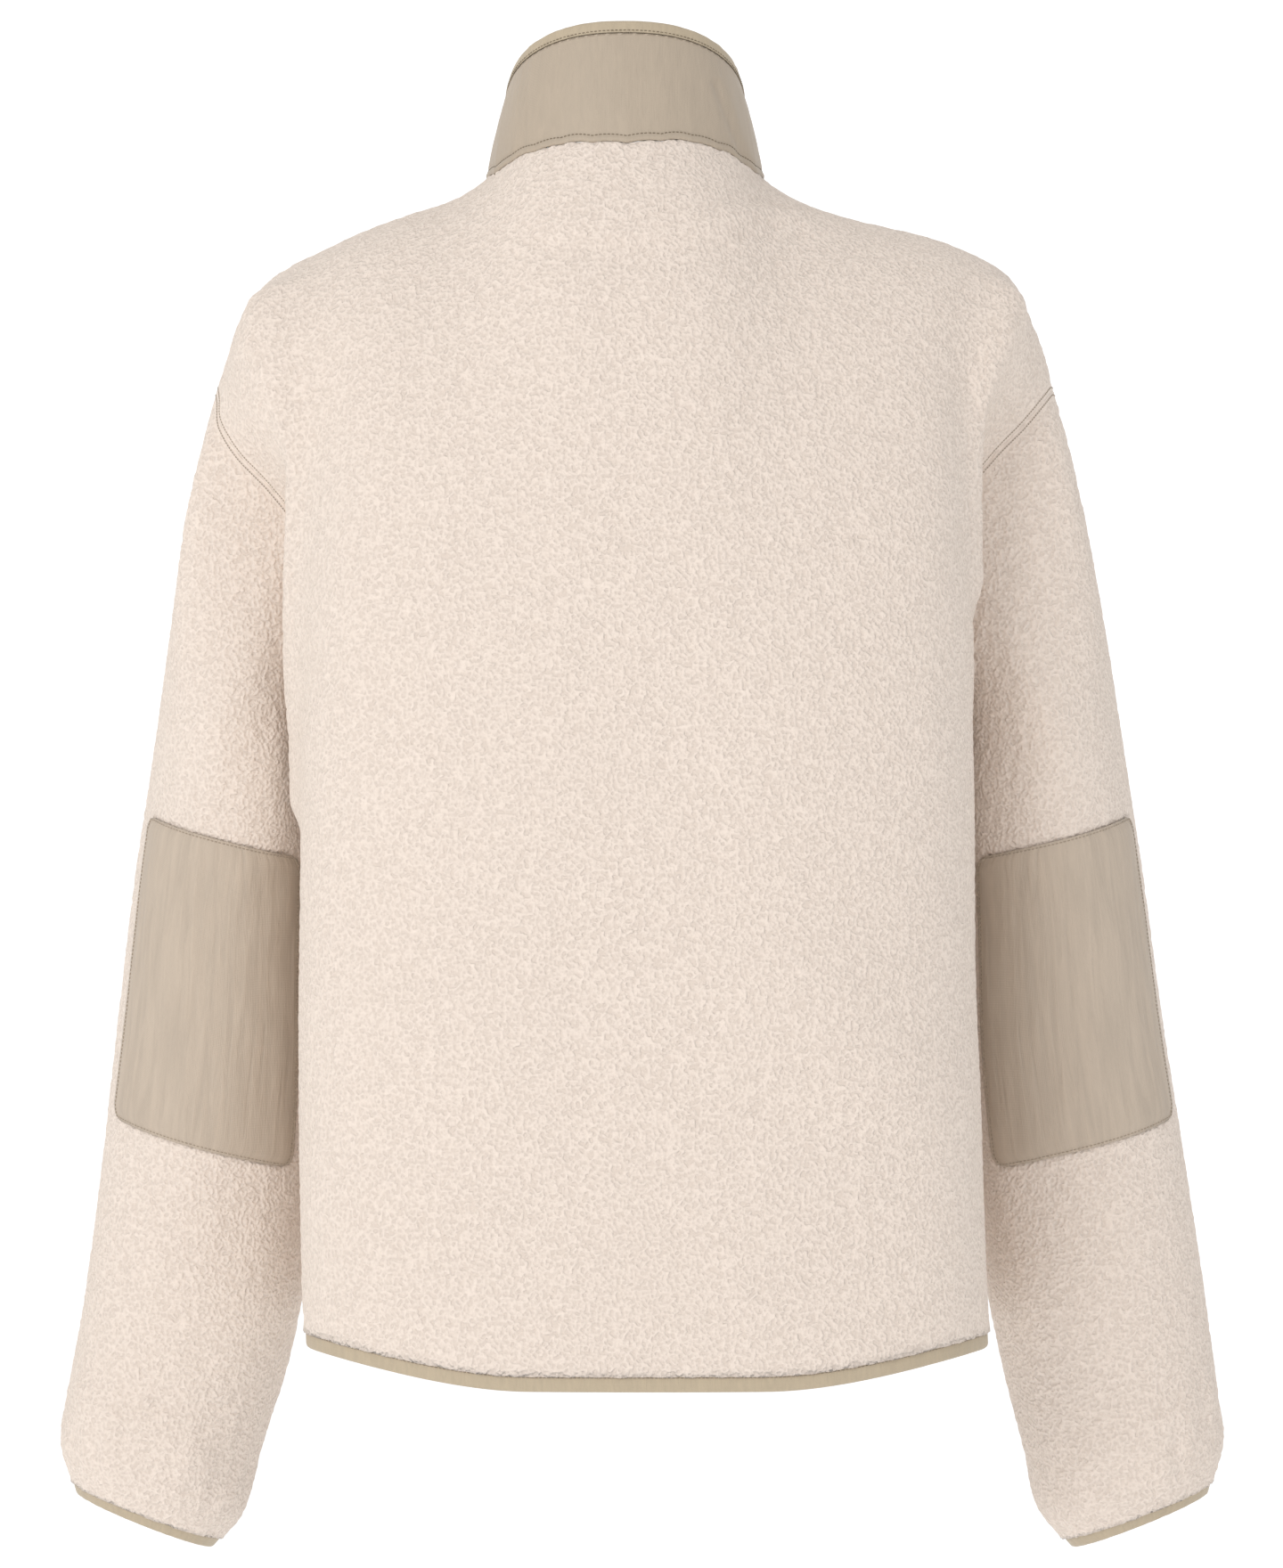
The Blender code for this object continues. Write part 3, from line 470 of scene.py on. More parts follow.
def scatter(cell, seed):
    """Numbers from 0 to 1 that look random but are the same for the same cell."""
    first, second, third = [cell[..., k].astype(np.int64) * CELL_PRIMES[k] for k in range(3)]
    mixed = ((first ^ second ^ third) ^ (seed * SEED_PRIME)) & LOW_BITS
    for shift, prime in SHUFFLES:
        mixed = ((mixed ^ (mixed >> shift)) * prime) & LOW_BITS
    return ((mixed ^ (mixed >> SHUFFLES[0][0])) & LAST_BITS) / LAST_BITS


def corners_of(low, high):
    steps = range(low, high + 1)
    return [np.array((i, j, k)) for i in steps for j in steps for k in steps]


def noise(points, size, seed):
    """Smooth noise from about -1 to 1 with lumps of that size."""
    place = points / size
    cell = np.floor(place)
    part = place - cell
    curve = ease(part)
    total = np.zeros(points.shape[:-1])
    for corner in corners_of(0, 1):
        weight = np.prod(np.where(corner, curve, 1 - curve), axis=-1)
        slope = np.stack([scatter(cell + corner, seed + k) * 2 - 1 for k in range(3)], axis=-1)
        total += weight * np.sum(slope * (part - corner), axis=-1)
    return total * NOISE_GAIN


def stir(points, size, reach, seed):
    """Moves places about, so that a pattern read there comes out curled."""
    shift = np.stack([noise(points, size, seed + 10 * k) for k in range(3)], axis=-1)
    return points + shift * reach


def nubs(points, size, seed):
    """Rounded lumps on scattered centres: 1 on a centre, 0 or less midway between."""
    place = points / size
    cell = np.floor(place)
    nearest = np.full(points.shape[:-1], FAR_AWAY)
    for corner in corners_of(-1, 1):
        home = cell + corner
        jitter = np.stack([scatter(home, seed + k) for k in range(3)], axis=-1)
        away = np.sum((home + jitter - place) ** 2, axis=-1)
        nearest = np.minimum(nearest, away)
    return 1 - NUB_FALL * nearest


# ---- the cut of the panels, sleeves and collar ----

def torso_row(height, share, front):
    """Points on a level section of the torso, on the back or the front panel."""
    size = {name: TORSO.read(name, height) for name in TORSO.names[1:]}
    angle = np.linspace(0, math.pi, SECTION_STEPS)
    behind = angle < math.pi / 2
    power = 2 / np.where(behind, BACK_SQUARENESS, FRONT_SQUARENESS)
    depth = np.where(behind, size["back_depth"], size["front_depth"])
    out = size["half_width"] * np.abs(np.sin(angle)) ** power
    forward = size["widest_y"] - depth * signed_power(np.cos(angle), power)
    reach = np.concatenate([[0], np.cumsum(np.hypot(np.diff(out), np.diff(forward)))])
    seam = np.interp(SIDE_SEAM_Y, forward, reach)
    way = np.abs(share) * seam
    if front:
        way = reach[-1] - np.abs(share) * (reach[-1] - seam)
    x = size["centre_x"] + np.sign(share) * np.interp(way, reach, out)
    y = np.interp(way, reach, forward)
    sag = size["front_sag" if front else "back_sag"]
    z = height - sag * (1 - ease((np.abs(share) - SAG_START) / SAG_SPAN))
    return np.stack([x, y, z], axis=-1)


def shoulder_point(share):
    beyond = np.abs(share)
    x = np.where(share < 0, SHOULDER.read("left", beyond), SHOULDER.read("right", beyond))
    return np.stack([x, CROWN.read("seam_y", beyond), SHOULDER.read("height", beyond)], axis=-1)


def crown_point(share, rise, front):
    """Point above the underarm on an untrimmed panel; rise is 1 on the shoulder line."""
    share = np.asarray(share, dtype=float)
    side = np.sign(share)
    beyond = np.abs(share)
    facing = -1.0 if front else 1.0
    start = torso_row(TORSO.last(), share, front)
    end = shoulder_point(share)
    swing = ease((beyond - UNDERARM_SWING) / (1 - UNDERARM_SWING)) ** SWING_POWER
    outward, backward, upward = UNDERARM_LEAVE
    upright = end[..., 2] - start[..., 2]
    leave = np.stack([facing * swing * outward * side, -facing * swing * backward,
                      swing * upward + (1 - swing) * upright], axis=-1)
    reach = CROWN.read("front" if front else "back", beyond)
    arrive = np.stack([CROWN.read("outward", beyond) * side, facing * reach,
                       CROWN.read("upward", beyond)], axis=-1)
    rise = np.broadcast_to(np.asarray(rise, dtype=float), beyond.shape)
    points = hermite(rise[..., None], start, leave, end, arrive)
    return points if front else points + tuck(side, beyond, rise)


def tuck(side, beyond, rise):
    """How far the back panel is drawn in and forward beside the armhole."""
    across, ahead = TUCK_FROM
    sideways = np.where(side < 0, TUCK.read("left", rise), TUCK.read("right", rise))
    inward = sideways * ease((beyond - across) / (1 - across))
    forward = TUCK.read("forward", rise) * ease((beyond - ahead) / (1 - ahead))
    return np.stack([-side * inward, forward, np.zeros_like(inward)], axis=-1)


def outside_neck(points):
    depth = np.where(points[..., 1] < 0, NECK_BACK, NECK_FRONT)
    return (points[..., 0] / NECK_HALF_WIDTH) ** 2 + (points[..., 1] / depth) ** 2 - 1


def neck_line(front):
    """Where the neckline crosses an untrimmed panel, at each line of its cut."""
    top = panel_shares(front)[1]
    share = np.concatenate([[-NECK_SHARE], top[np.abs(top) < NECK_SHARE - NEARLY], [NECK_SHARE]])
    low, high = np.zeros_like(share), np.ones_like(share)
    for _ in range(HALVINGS):
        middle = (low + high) / 2
        out = outside_neck(crown_point(share, middle, front)) > 0
        low, high = np.where(out, middle, low), np.where(out, high, middle)
    rise = (low + high) / 2
    rise[[0, -1]] = 1.0
    return share, rise


def trimmed(share, rise, front):
    """How far up an untrimmed panel a rise lies, once the neckline has been cut away."""
    if front not in NECK_LINES:
        NECK_LINES[front] = neck_line(front)
    cut = 1 - np.interp(share, *NECK_LINES[front])
    power = 1 + TRIM_CROWDING * ease((np.abs(share) - NECK_SHARE / 2) / (NECK_SHARE / 2))
    return rise - cut * rise ** power


def panel_point(share, rise, front):
    """Point on a panel; rise is -1 at the hem, 0 at the underarm and 1 at the top edge."""
    if rise < 0:
        height = TORSO.last() + rise * (TORSO.last() - TORSO.first())
        return torso_row(height, share, front)
    return crown_point(share, trimmed(share, rise, front), front)


def neck_inward(share, rise, front):
    """The way into a panel from a place on it, for use where its lines crowd at the neck."""
    rise = trimmed(share, rise, front)

    def change(across, up):
        return (crown_point(share + across, rise + up, front)
                - crown_point(share - across, rise - up, front))

    across, upward = change(SMALL_STEP, 0), change(0, SMALL_STEP)
    return unit(np.cross(across, upward)) * (1 if front else -1)


def panel_shares(front):
    """Shares of a panel's lines at the hem and at the top edge."""
    count = NECK_STEPS + SHOULDER_STEPS
    neck = NECK_SHARE * (1 - np.linspace(1, 0, NECK_STEPS + 1) ** NECK_CROWDING)
    shoulder = np.linspace(NECK_SHARE, 1, SHOULDER_STEPS + 1)[1:]
    top = np.concatenate([neck, shoulder])
    low = np.linspace(0, 1, count + 1)
    if front:
        top[0] = SLIT_SHARE
        low = np.linspace(SLIT_SHARE, 1, count + 1)
        return (np.concatenate([-low[::-1], low]), np.concatenate([-top[::-1], top]))
    return (np.concatenate([-low[:0:-1], low]), np.concatenate([-top[:0:-1], top]))


def panel_rises():
    lower = np.linspace(-1, 0, SIDE_STEPS + 1)
    upper = np.linspace(0, 1, ARMHOLE_STEPS + 1)
    return np.concatenate([lower, upper[1:]])


def fold_height(folds, reach, across, up):
    """How far the folds lift a cloth; reach is what one across and one up measure."""
    scale = np.array(reach)
    place = np.stack([across, up], axis=-1) * scale
    height = np.zeros(place.shape[:-1])
    for start_x, start_y, end_x, end_y, half_width, lift in folds.rows:
        start = np.array([start_x, start_y]) * scale
        line = np.array([end_x, end_y]) * scale - start
        part = np.clip(np.sum((place - start) * line, axis=-1) / np.sum(line * line), 0, 1)
        away = np.linalg.norm(place - start - part[..., None] * line, axis=-1)
        height = height + lift * np.exp(-(away / half_width) ** 2)
    return height


def ring_point(side, drop, angle):
    """Point on a sleeve's ring; the angle starts at the outer side and goes backwards."""
    tilt = np.radians(SLEEVE.read("tilt", drop))
    lean = np.radians(SLEEVE.read("lean", drop))
    centre_x = SLEEVE.read("left" if side < 0 else "right", drop)
    out = SLEEVE.read("half_width", drop) * signed_power(np.cos(angle), 2 / SLEEVE_SQUARENESS)
    back = SLEEVE.read("half_depth", drop) * signed_power(np.sin(angle), 2 / SLEEVE_SQUARENESS)
    x = centre_x + side * out * np.cos(tilt)
    y = SLEEVE.read("forward", drop) - back * np.cos(lean)
    z = -drop + out * np.sin(tilt) - back * np.sin(lean)
    return np.stack([x, y, z], axis=-1)


def armhole_point(side, angle):
    """Point on the armhole seam; angle 0 is its top and half a turn is the underarm."""
    turn = np.mod(angle, 2 * math.pi)
    behind = crown_point(np.full_like(turn, side), 1 - turn / math.pi, False)
    before = crown_point(np.full_like(turn, side), turn / math.pi - 1, True)
    return np.where((turn <= math.pi)[..., None], behind, before)


def sleeve_point(side, way, angle):
    """Point on a sleeve; way is 0 at the armhole and 1 at the end of the fleece."""
    first, last = SLEEVE.first(), SLEEVE.last()
    if way >= CAP_END:
        drop = first + (last - first) * (way - CAP_END) / (1 - CAP_END)
        return ring_point(side, drop, angle)
    start = armhole_point(side, angle)
    end = ring_point(side, first, angle)
    span = np.linalg.norm(end - start, axis=-1, keepdims=True)
    above, below = 1 + np.cos(angle), 1 - np.cos(angle)
    top, sides, underarm = LEAVE_OUT
    outward = top * above + sides * np.sin(angle) ** 2 + underarm * below
    forward = LEAVE_FORWARD * below
    leave = unit(np.stack([side * outward, forward, np.full_like(angle, -LEAVE_DOWN)], axis=-1))
    arrive = unit(ring_point(side, first + RING_STEP, angle) - end)
    return hermite(way / CAP_END, start, leave * span, end, arrive * span)


def sleeve_ways():
    cap = np.linspace(0, CAP_END, CAP_STEPS + 1)
    arm = 1 - (1 - CAP_END) * np.linspace(1, 0, ARM_STEPS + 1) ** CUFF_CROWDING
    return np.concatenate([cap, arm[1:]])


def collar_point(share, rise, front):
    """Point on the collar above the neckline; rise is 1 where its binding begins."""
    base = panel_point(share, 1.0, front)
    depth = np.where(base[..., 1] < 0, NECK_BACK, NECK_FRONT)
    bearing = np.arctan2(base[..., 0] / NECK_HALF_WIDTH, -base[..., 1] / depth)
    across = signed_power(np.sin(bearing), 2 / COLLAR_SQUARENESS)
    behind = signed_power(np.cos(bearing), 2 / COLLAR_SQUARENESS)
    top = np.stack([COLLAR_HALF_WIDTH * across, COLLAR_FORWARD - COLLAR_HALF_DEPTH * behind,
                    COLLAR_HEIGHT + COLLAR_TILT_RISE * behind], axis=-1)
    out = np.stack([np.sin(bearing), -np.cos(bearing), np.zeros_like(bearing)], axis=-1)
    bulge = 4 * COLLAR_BULGE * rise * (1 - rise)
    return base + (top - base) * rise + out * bulge


# ---- fine grids of the cloth ----

def refine(values, cells):
    """The lines of a grid with that many cells between each two."""
    count = (len(values) - 1) * cells + 1
    return np.interp(np.linspace(0, len(values) - 1, count), np.arange(len(values)), values)


def panel_cloth(front):
    """A panel's fine grid of points, with each point's share and rise."""
    low, top = panel_shares(front)
    across = PANEL_CELLS[1]
    if front:
        middle = len(low) // 2
        gap = np.linspace(-SLIT_SHARE, SLIT_SHARE, LINING_CELLS["panel"][1] + 1)[1:-1]
        low, top = [np.concatenate([refine(row[:middle], across), gap,
                                    refine(row[middle:], across)]) for row in (low, top)]
    else:
        low, top = refine(low, across), refine(top, across)
    rises = refine(panel_rises(), PANEL_CELLS[0])
    shares = np.array([low + (top - low) * ease(rise) for rise in rises])
    points = np.array([panel_point(row, rise, front) for row, rise in zip(shares, rises)])
    ups = np.broadcast_to(rises[:, None], shares.shape)
    points = soften_corners(points, shares, ups)
    fade = ease((1 - np.abs(shares)) / FOLD_FADE) * ease((1 - ups) / FOLD_FADE)
    fade = fade * ease((ups + 1) / FOLD_FADE)
    folds = FRONT_FOLDS if front else BACK_FOLDS
    lift = fold_height(folds, PANEL_REACH, shares, ups) * fade
    turn = 1 if front else -1
    lift = lift + soft_folds(shares, ups * PANEL_STRETCH, 7 + front) * fade
    if not front:
        lift = lift + shoulder_roll(shares, ups)
    beyond, span = NECK_BLEND
    beside = (ease((NECK_SHARE + beyond - np.abs(shares)) / span) * (ups > 0))[..., None]
    straight = np.zeros_like(points)
    for k in np.flatnonzero(rises > 0):
        straight[k] = neck_inward(shares[k], rises[k], front)

    def inward():
        return unit(grid_normals(points, False, turn) * (1 - beside) + straight * beside)

    points = points - inward() * lift[..., None]
    return {"points": points, "inward": inward(), "shares": shares, "rises": ups, "wrap": False}


def soften_corners(points, shares, ups):
    """Rounds the hollow that runs down a panel from each corner of the neck."""
    low, high = CORNER_RISES
    part = near(np.abs(np.abs(shares) - NECK_SHARE), CORNER_REACH)
    part = (part * ease(ups / low) * ease((1 - ups) / high))[:, 1:-1, None]
    points = points.copy()
    for _ in range(CORNER_PASSES):
        between_sides = (points[:, :-2] + points[:, 2:]) / 2
        points[:, 1:-1] += 0.5 * part * (between_sides - points[:, 1:-1])
    return points


def shoulder_roll(across, up):
    """The soft roll in which the back doubles over below the collar's right corner."""
    ahead = up - ROLL.read("up", across)
    below = near(-ahead, ROLL_DEPTH) * ease((ROLL_EDGE - ahead) / (2 * ROLL_EDGE))
    return ROLL_HEIGHT * below * near(np.abs(across - ROLL_MIDDLE), ROLL_REACH)


def soft_folds(across, up, seed):
    """Shallow long waves that hang down a cloth; one across and one up are about 0.2 m."""
    sideways, upwards = SOFT_FOLD_SCALE
    place = np.stack([across * sideways, up * upwards, np.zeros_like(across)], axis=-1)
    return SOFT_FOLDS * noise(stir(place, *SOFT_FOLD_CURL, seed), 1.0, seed + 5)


def cuff_puckers(turns, ways, seed):
    """Small pleats that the binding draws into the end of a sleeve."""
    around, along_it = PUCKER_SCALE
    angle = turns * 2 * math.pi
    ring = [np.cos(angle) * around, np.sin(angle) * around, ways * along_it]
    depth = CUFF_PUCKERS * ease((ways - PUCKER_START) / PUCKER_SPAN)
    return depth * noise(np.stack(ring, axis=-1), 1.0, seed)


def sleeve_cloth(side):
    """A sleeve's fine grid of points, with each point's angle and way."""
    around = 2 * ARMHOLE_STEPS * SLEEVE_CELLS[1]
    turns = np.arange(around) / around
    ways = refine(sleeve_ways(), SLEEVE_CELLS[0])
    points = np.array([sleeve_point(side, way, turns * 2 * math.pi) for way in ways])
    across, up = np.meshgrid(turns, ways)
    fade = ease(up / FOLD_FADE) * ease((1 - up) / FOLD_FADE)
    lift = fold_height(SLEEVE_FOLDS, SLEEVE_REACH, across, up)
    outward, backward, downward = SLEEVE_STRETCH
    angle = across * 2 * math.pi
    lift = lift + soft_folds(np.cos(angle) * outward + np.sin(angle) * backward,
                             up * downward, 17 + side)
    lift = (lift + cuff_puckers(across, up, 27 + side)) * fade
    points = points - grid_normals(points, True, -side) * lift[..., None]
    return {"points": points, "inward": grid_normals(points, True, -side), "turns": across,
            "ways": up, "wrap": True}


def collar_cloth(rows, cells):
    """The collar's fine grid, from the zip's left side round the back to its right side."""
    back = panel_shares(False)[1]
    front = panel_shares(True)[1]
    back = back[np.abs(back) <= NECK_SHARE + NEARLY]
    front = front[np.abs(front) <= NECK_SHARE + NEARLY]
    left, right = front[front < 0][::-1], front[front > 0][::-1]
    lines = []
    for rise in np.linspace(0, 1, rows + 1):
        parts = [collar_point(refine(left, cells), rise, True)[:-1],
                 collar_point(refine(back, cells), rise, False),
                 collar_point(refine(right, cells), rise, True)[1:]]
        lines.append(np.concatenate(parts))
    points = np.array(lines)
    points[0, :, 2] += SEAM_GAP
    return {"points": points, "inward": grid_normals(points, False, -1)}


def walked(line):
    """How far along a line each of its points lies."""
    steps = np.linalg.norm(np.diff(line, axis=0), axis=-1)
    return np.concatenate([[0], np.cumsum(steps)])


def read_along(values, way, at):
    """Places or directions read between those of a line's points."""
    return np.stack([np.interp(at, way, values[:, k]) for k in range(3)], axis=-1)


def between(values, keys, at):
    """Directions read between others along a seam."""
    order = np.argsort(keys)
    return read_along(values[order], keys[order], at)


def meet(first, first_edge, first_keys, second, second_edge, second_keys):
    """Gives two cloths one way into their walls along the seam between them."""
    mine, theirs = first[first_edge], second[second_edge]
    first[first_edge] = unit(mine + between(theirs, second_keys, first_keys))
    second[second_edge] = unit(theirs + between(mine, first_keys, second_keys))


def meet_seams(back, front, sleeves):
    rows = np.arange(back["points"].shape[0])
    whole = slice(None)
    for column in (0, -1):
        meet(back["inward"], (whole, column), rows, front["inward"], (whole, column), rows)
    one, two = back["shares"][-1], front["shares"][-1]
    mine, theirs = np.abs(one) > NECK_SHARE - NEARLY, np.abs(two) > NECK_SHARE - NEARLY
    meet(back["inward"], (-1, mine), one[mine], front["inward"], (-1, theirs), two[theirs])
    upper = rows >= SIDE_STEPS * PANEL_CELLS[0]
    for side, sleeve in sleeves.items():
        column = 0 if side < 0 else -1
        turns = sleeve["turns"][0]
        for grid, half, keys in ((back, turns <= 0.5, 0.5 * (1 - back["rises"][upper, column])),
                                 (front, (turns >= 0.5) | (turns == 0),
                                  0.5 * (1 + front["rises"][upper, column]))):
            own = np.where((turns[half] == 0) & (grid is front), 1.0, turns[half])
            meet(grid["inward"], (upper, column), keys, sleeve["inward"], (0, half), own)


# ---- meshes ----

def add_mesh(name, points, faces, material):
    mesh = bpy.data.meshes.new(name)
    mesh.from_pydata(np.asarray(points).tolist(), [], faces)
    mesh.materials.append(material)
    mesh.shade_smooth()
    mesh.validate()
    piece = bpy.data.objects.new(name, mesh)
    bpy.context.scene.collection.objects.link(piece)
    return piece


def grid_quads(rows, columns, wrap, keep=None):
    """Corners of a grid's cells, one row of four each, and which cells there are."""
    down, across = np.meshgrid(np.arange(rows - 1), np.arange(columns if wrap else columns - 1),
                               indexing="ij")
    if keep is not None:
        down, across = down[keep], across[keep]
    beside = (across + 1) % columns
    corners = [down * columns + across, down * columns + beside,
               (down + 1) * columns + beside, (down + 1) * columns + across]
    return np.stack([corner.ravel() for corner in corners], axis=-1)


def border(quads):
    """Edges that only one cell has, as pairs of corners in the cell's own order."""
    edges = np.concatenate([quads[:, (k, (k + 1) % 4)] for k in range(4)])
    size = int(edges.max()) + 1
    codes = edges[:, 0] * size + edges[:, 1]
    back = edges[:, 1] * size + edges[:, 0]
    return edges[~np.isin(codes, back)]


def shell_faces(rows, columns, cells, wrap, outward, keep=None):
    """Faces of a fine face, a coarse lining and the rim between them."""
    fine = grid_quads(rows, columns, wrap, keep)
    down, across = cells
    coarse_rows = (rows - 1) // down + 1
    coarse_columns = columns // across if wrap else (columns - 1) // across + 1
    kept = None
    if keep is not None:
        kept = keep[::down, ::across]
    lining = grid_quads(coarse_rows, coarse_columns, wrap, kept)
    start = rows * columns
    faces = (fine if outward > 0 else fine[:, ::-1]).tolist()
    faces += ((lining[:, ::-1] if outward > 0 else lining) + start).tolist()

    def coarse_at(place):
        row, column = divmod(place, columns)
        if row % down or column % across:
            return None
        return start + row // down * coarse_columns + column // across

    follow = dict(border(fine).tolist())
    done = set()
    for first in sorted(follow):
        if first in done or coarse_at(first) is None:
            continue
        here = first
        while here not in done:
            run = [here]
            while len(run) == 1 or coarse_at(run[-1]) is None:
                done.add(run[-1])
                run.append(follow[run[-1]])
            done.add(here)
            a, b = coarse_at(run[0]), coarse_at(run[-1])
            half = len(run) // 2
            rim = [(run[k + 1], run[k], a) for k in range(half)]
            rim += [(run[k + 1], run[k], b) for k in range(half, len(run) - 1)]
            rim.append((run[half], a, b)[::-1])
            faces += [face if outward > 0 else face[::-1] for face in rim]
            here = run[-1]
    return faces


def add_shell(name, outer, inner, cells, wrap, outward, material, keep=None):
    """A closed cloth: a fine outer face, a lining with fewer cells and a rim all round."""
    rows, columns = outer.shape[:2]
    lining = inner[::cells[0], ::cells[1]]
    points = np.concatenate([outer.reshape(-1, 3), lining.reshape(-1, 3)])
    faces = shell_faces(rows, columns, cells, wrap, outward, keep)
    used = sorted({corner for face in faces for corner in face})
    place = np.zeros(len(points), dtype=int)
    place[used] = np.arange(len(used))
    piece = add_mesh(name, points[used], [tuple(place[list(face)].tolist()) for face in faces],
                     material)
    return piece, np.array(used)


def add_number(piece, name, values):
    """Keeps a number for each point, which the material reads."""
    layer = piece.data.attributes.new(name, "FLOAT", "POINT")
    layer.data.foreach_set("value", np.asarray(values, dtype=np.float32))


def add_uv(piece, places):
    """Lays each point of a cloth flat, in metres, which the material reads."""
    layer = piece.data.uv_layers.new(name="flat")
    corners = np.empty(len(piece.data.loops), dtype=int)
    piece.data.loops.foreach_get("vertex_index", corners)
    layer.data.foreach_set("uv", np.asarray(places, dtype=np.float32)[corners].ravel())


# ---- materials ----

class Finish:
    """A material whose nodes are added one at a time."""

    def __init__(self, name, roughness, metallic=0.0):
        self.material = bpy.data.materials.new(name)
        self.material.use_nodes = True
        self.tree = self.material.node_tree
        self.shader = self.tree.nodes["Principled BSDF"]
        self.set("Roughness", roughness)
        self.set("Metallic", metallic)

    def set(self, name, value):
        self.put(self.shader.inputs[name], value)

    def put(self, socket, value):
        if isinstance(value, bpy.types.NodeSocket):
            self.tree.links.new(value, socket)
        else:
            socket.default_value = (*value, 1.0) if len_of(value) == 3 and len_of(
                socket.default_value) == 4 else value

    def node(self, kind, output=0, modes=None, **values):
        """Adds a node, sets its modes, fills its sockets and returns one of its outputs."""
        made = self.tree.nodes.new("ShaderNode" + kind)
        for name, value in (modes or {}).items():
            setattr(made, name, value)
        for name, value in values.items():
            key = int(name[1:]) if name[0] == "_" else name.replace("_", " ")
            self.put(made.inputs[key], value)
        return made.outputs[output]

    def place(self, kind="Object"):
        return self.node("TexCoord", output=kind)

    def ramp(self, value, low, high, first, second):
        """Turns a number between low and high into one between first and second."""
        return self.node("MapRange", Value=value, From_Min=low, From_Max=high, To_Min=first,
                         To_Max=second)

    def mix(self, part, first, second):
        return self.node("Mix", output=2, modes={"data_type": "RGBA"}, Factor=part, _6=first,
                         _7=second)

    def maths(self, kind, first, second):
        return self.node("Math", modes={"operation": kind}, _0=first, _1=second)

    def weave(self, place, axes, scale, stray):
        """Height of threads that run across each of two axes."""
        bands = [self.node("TexWave", modes={"wave_type": "BANDS", "bands_direction": axis},
                           Vector=place, Scale=scale, Distortion=stray, Detail=1.0)
                 for axis in axes]
        return self.maths("ADD", *bands)

    def bump(self, height, distance, strength=1.0, under=None):
        values = {"Height": height, "Distance": distance, "Strength": strength}
        if under is not None:
            values["Normal"] = under
        return self.node("Bump", **values)


def len_of(value):
    return len(value) if hasattr(value, "__len__") else 1


def fleece_finish():
    """Curled, matt sherpa pile: pale curls, with painted shade in the thin creases between them,
    in the low places of the pile and in the armhole seam's groove.
    """
    look = settings("fleece")
    cloth = Finish("sherpa fleece", 0.95)
    place = cloth.place()
    curl = cloth.node("TexNoise", Vector=place, Scale=560.0, Detail=0.5, Roughness=0.5)
    seam = cloth.node("Attribute", output="Fac", modes={"attribute_name": "seam"})
    pile = cloth.node("Attribute", output="Fac", modes={"attribute_name": "pile"})
    free = cloth.ramp(seam, ARMHOLE_ROWS, ARMHOLE_ROWS * 2.5, 0.12, 1.0)
    # Painted shade: the colour darkens where the curl noise that also shapes the bump is low, in
    # the creases between the curls, less near the armhole seam.
    crease_shade = cloth.maths("MULTIPLY", cloth.ramp(curl, 0.32, 0.56, 0.46, 0.0), free)
    # More painted shade where the mesh's own pile is low.
    painted_shade = cloth.maths("ADD", crease_shade, cloth.ramp(pile, 0.25, 0.7, 0.05, 0.0))
    shaded_tone = cloth.mix(painted_shade, tuple(look.lit), tuple(look.hollow))
    # Painted shade in the groove that the armhole stitches pull: the colour turns to the hollows
    # colour near the row of stitches.
    groove_shade = cloth.ramp(cloth.maths("ABSOLUTE", cloth.maths("SUBTRACT", seam, ARMHOLE_ROWS), 0.0),
                      0.0002, 0.0011, 0.30, 0.0)
    cloth.set("Base Color", cloth.mix(groove_shade, shaded_tone, tuple(look.hollow)))
    fuzz = cloth.node("TexNoise", Vector=place, Scale=1100.0, Detail=2.0)
    lump = cloth.ramp(curl, 0.33, 0.68, 0.0, 1.0)
    ridge = cloth.ramp(seam, ARMHOLE_ROWS * 0.6, ARMHOLE_ROWS * 1.5, 0.9, 0.0)
    fine = cloth.bump(fuzz, 0.0003, 0.6)
    high = cloth.bump(cloth.maths("MULTIPLY", lump, free), 0.0008, 0.8, fine)
    cloth.set("Normal", cloth.bump(ridge, 0.0010, 1.0, high))
    cloth.set("Sheen Weight", 0.35)
    cloth.set("Sheen Roughness", 0.6)
    cloth.set("Sheen Tint", (1.0, 0.93, 0.84, 1.0))
    return cloth.material


def nylon_finish(name, tint, long_way, contrast):
    """Crinkled taslan nylon: a fine weave under creases that run down the cloth, with painted
    shade in the creases and painted highlight on their ridges.
    """
    cloth = Finish(name, 0.62)
    place = cloth.place("UV")
    streaks = cloth.node("VectorMath", modes={"operation": "MULTIPLY"}, _0=place, _1=long_way)
    crinkle = cloth.node("TexNoise", Vector=streaks, Scale=1.0, Detail=4.0, Roughness=0.62,
                         Distortion=0.6)
    threads = cloth.weave(place, "XY", 420.0, 1.5)
    # Painted shade and highlight: darker where the crinkle noise that also shapes the bump is low,
    # paler where it is high; contrast sets both this and the crinkle's depth.
    shade = cloth.ramp(crinkle, 0.32, 0.68, 0.0, 1.0)
    dark = tuple(channel * (1 - 0.5 * contrast) for channel in tint)
    pale = tuple(min(channel * (1 + 0.5 * contrast), 1.0) for channel in tint)
    cloth.set("Base Color", cloth.mix(shade, dark, pale))
    fine = cloth.bump(threads, 0.00006, 0.5)
    cloth.set("Normal", cloth.bump(crinkle, 0.004 * contrast, 0.9, fine))
    cloth.set("Roughness", cloth.ramp(crinkle, 0.3, 0.7, 0.52, 0.68))
    cloth.set("Sheen Weight", 0.15)
    cloth.set("Sheen Roughness", 0.4)
    return cloth.material


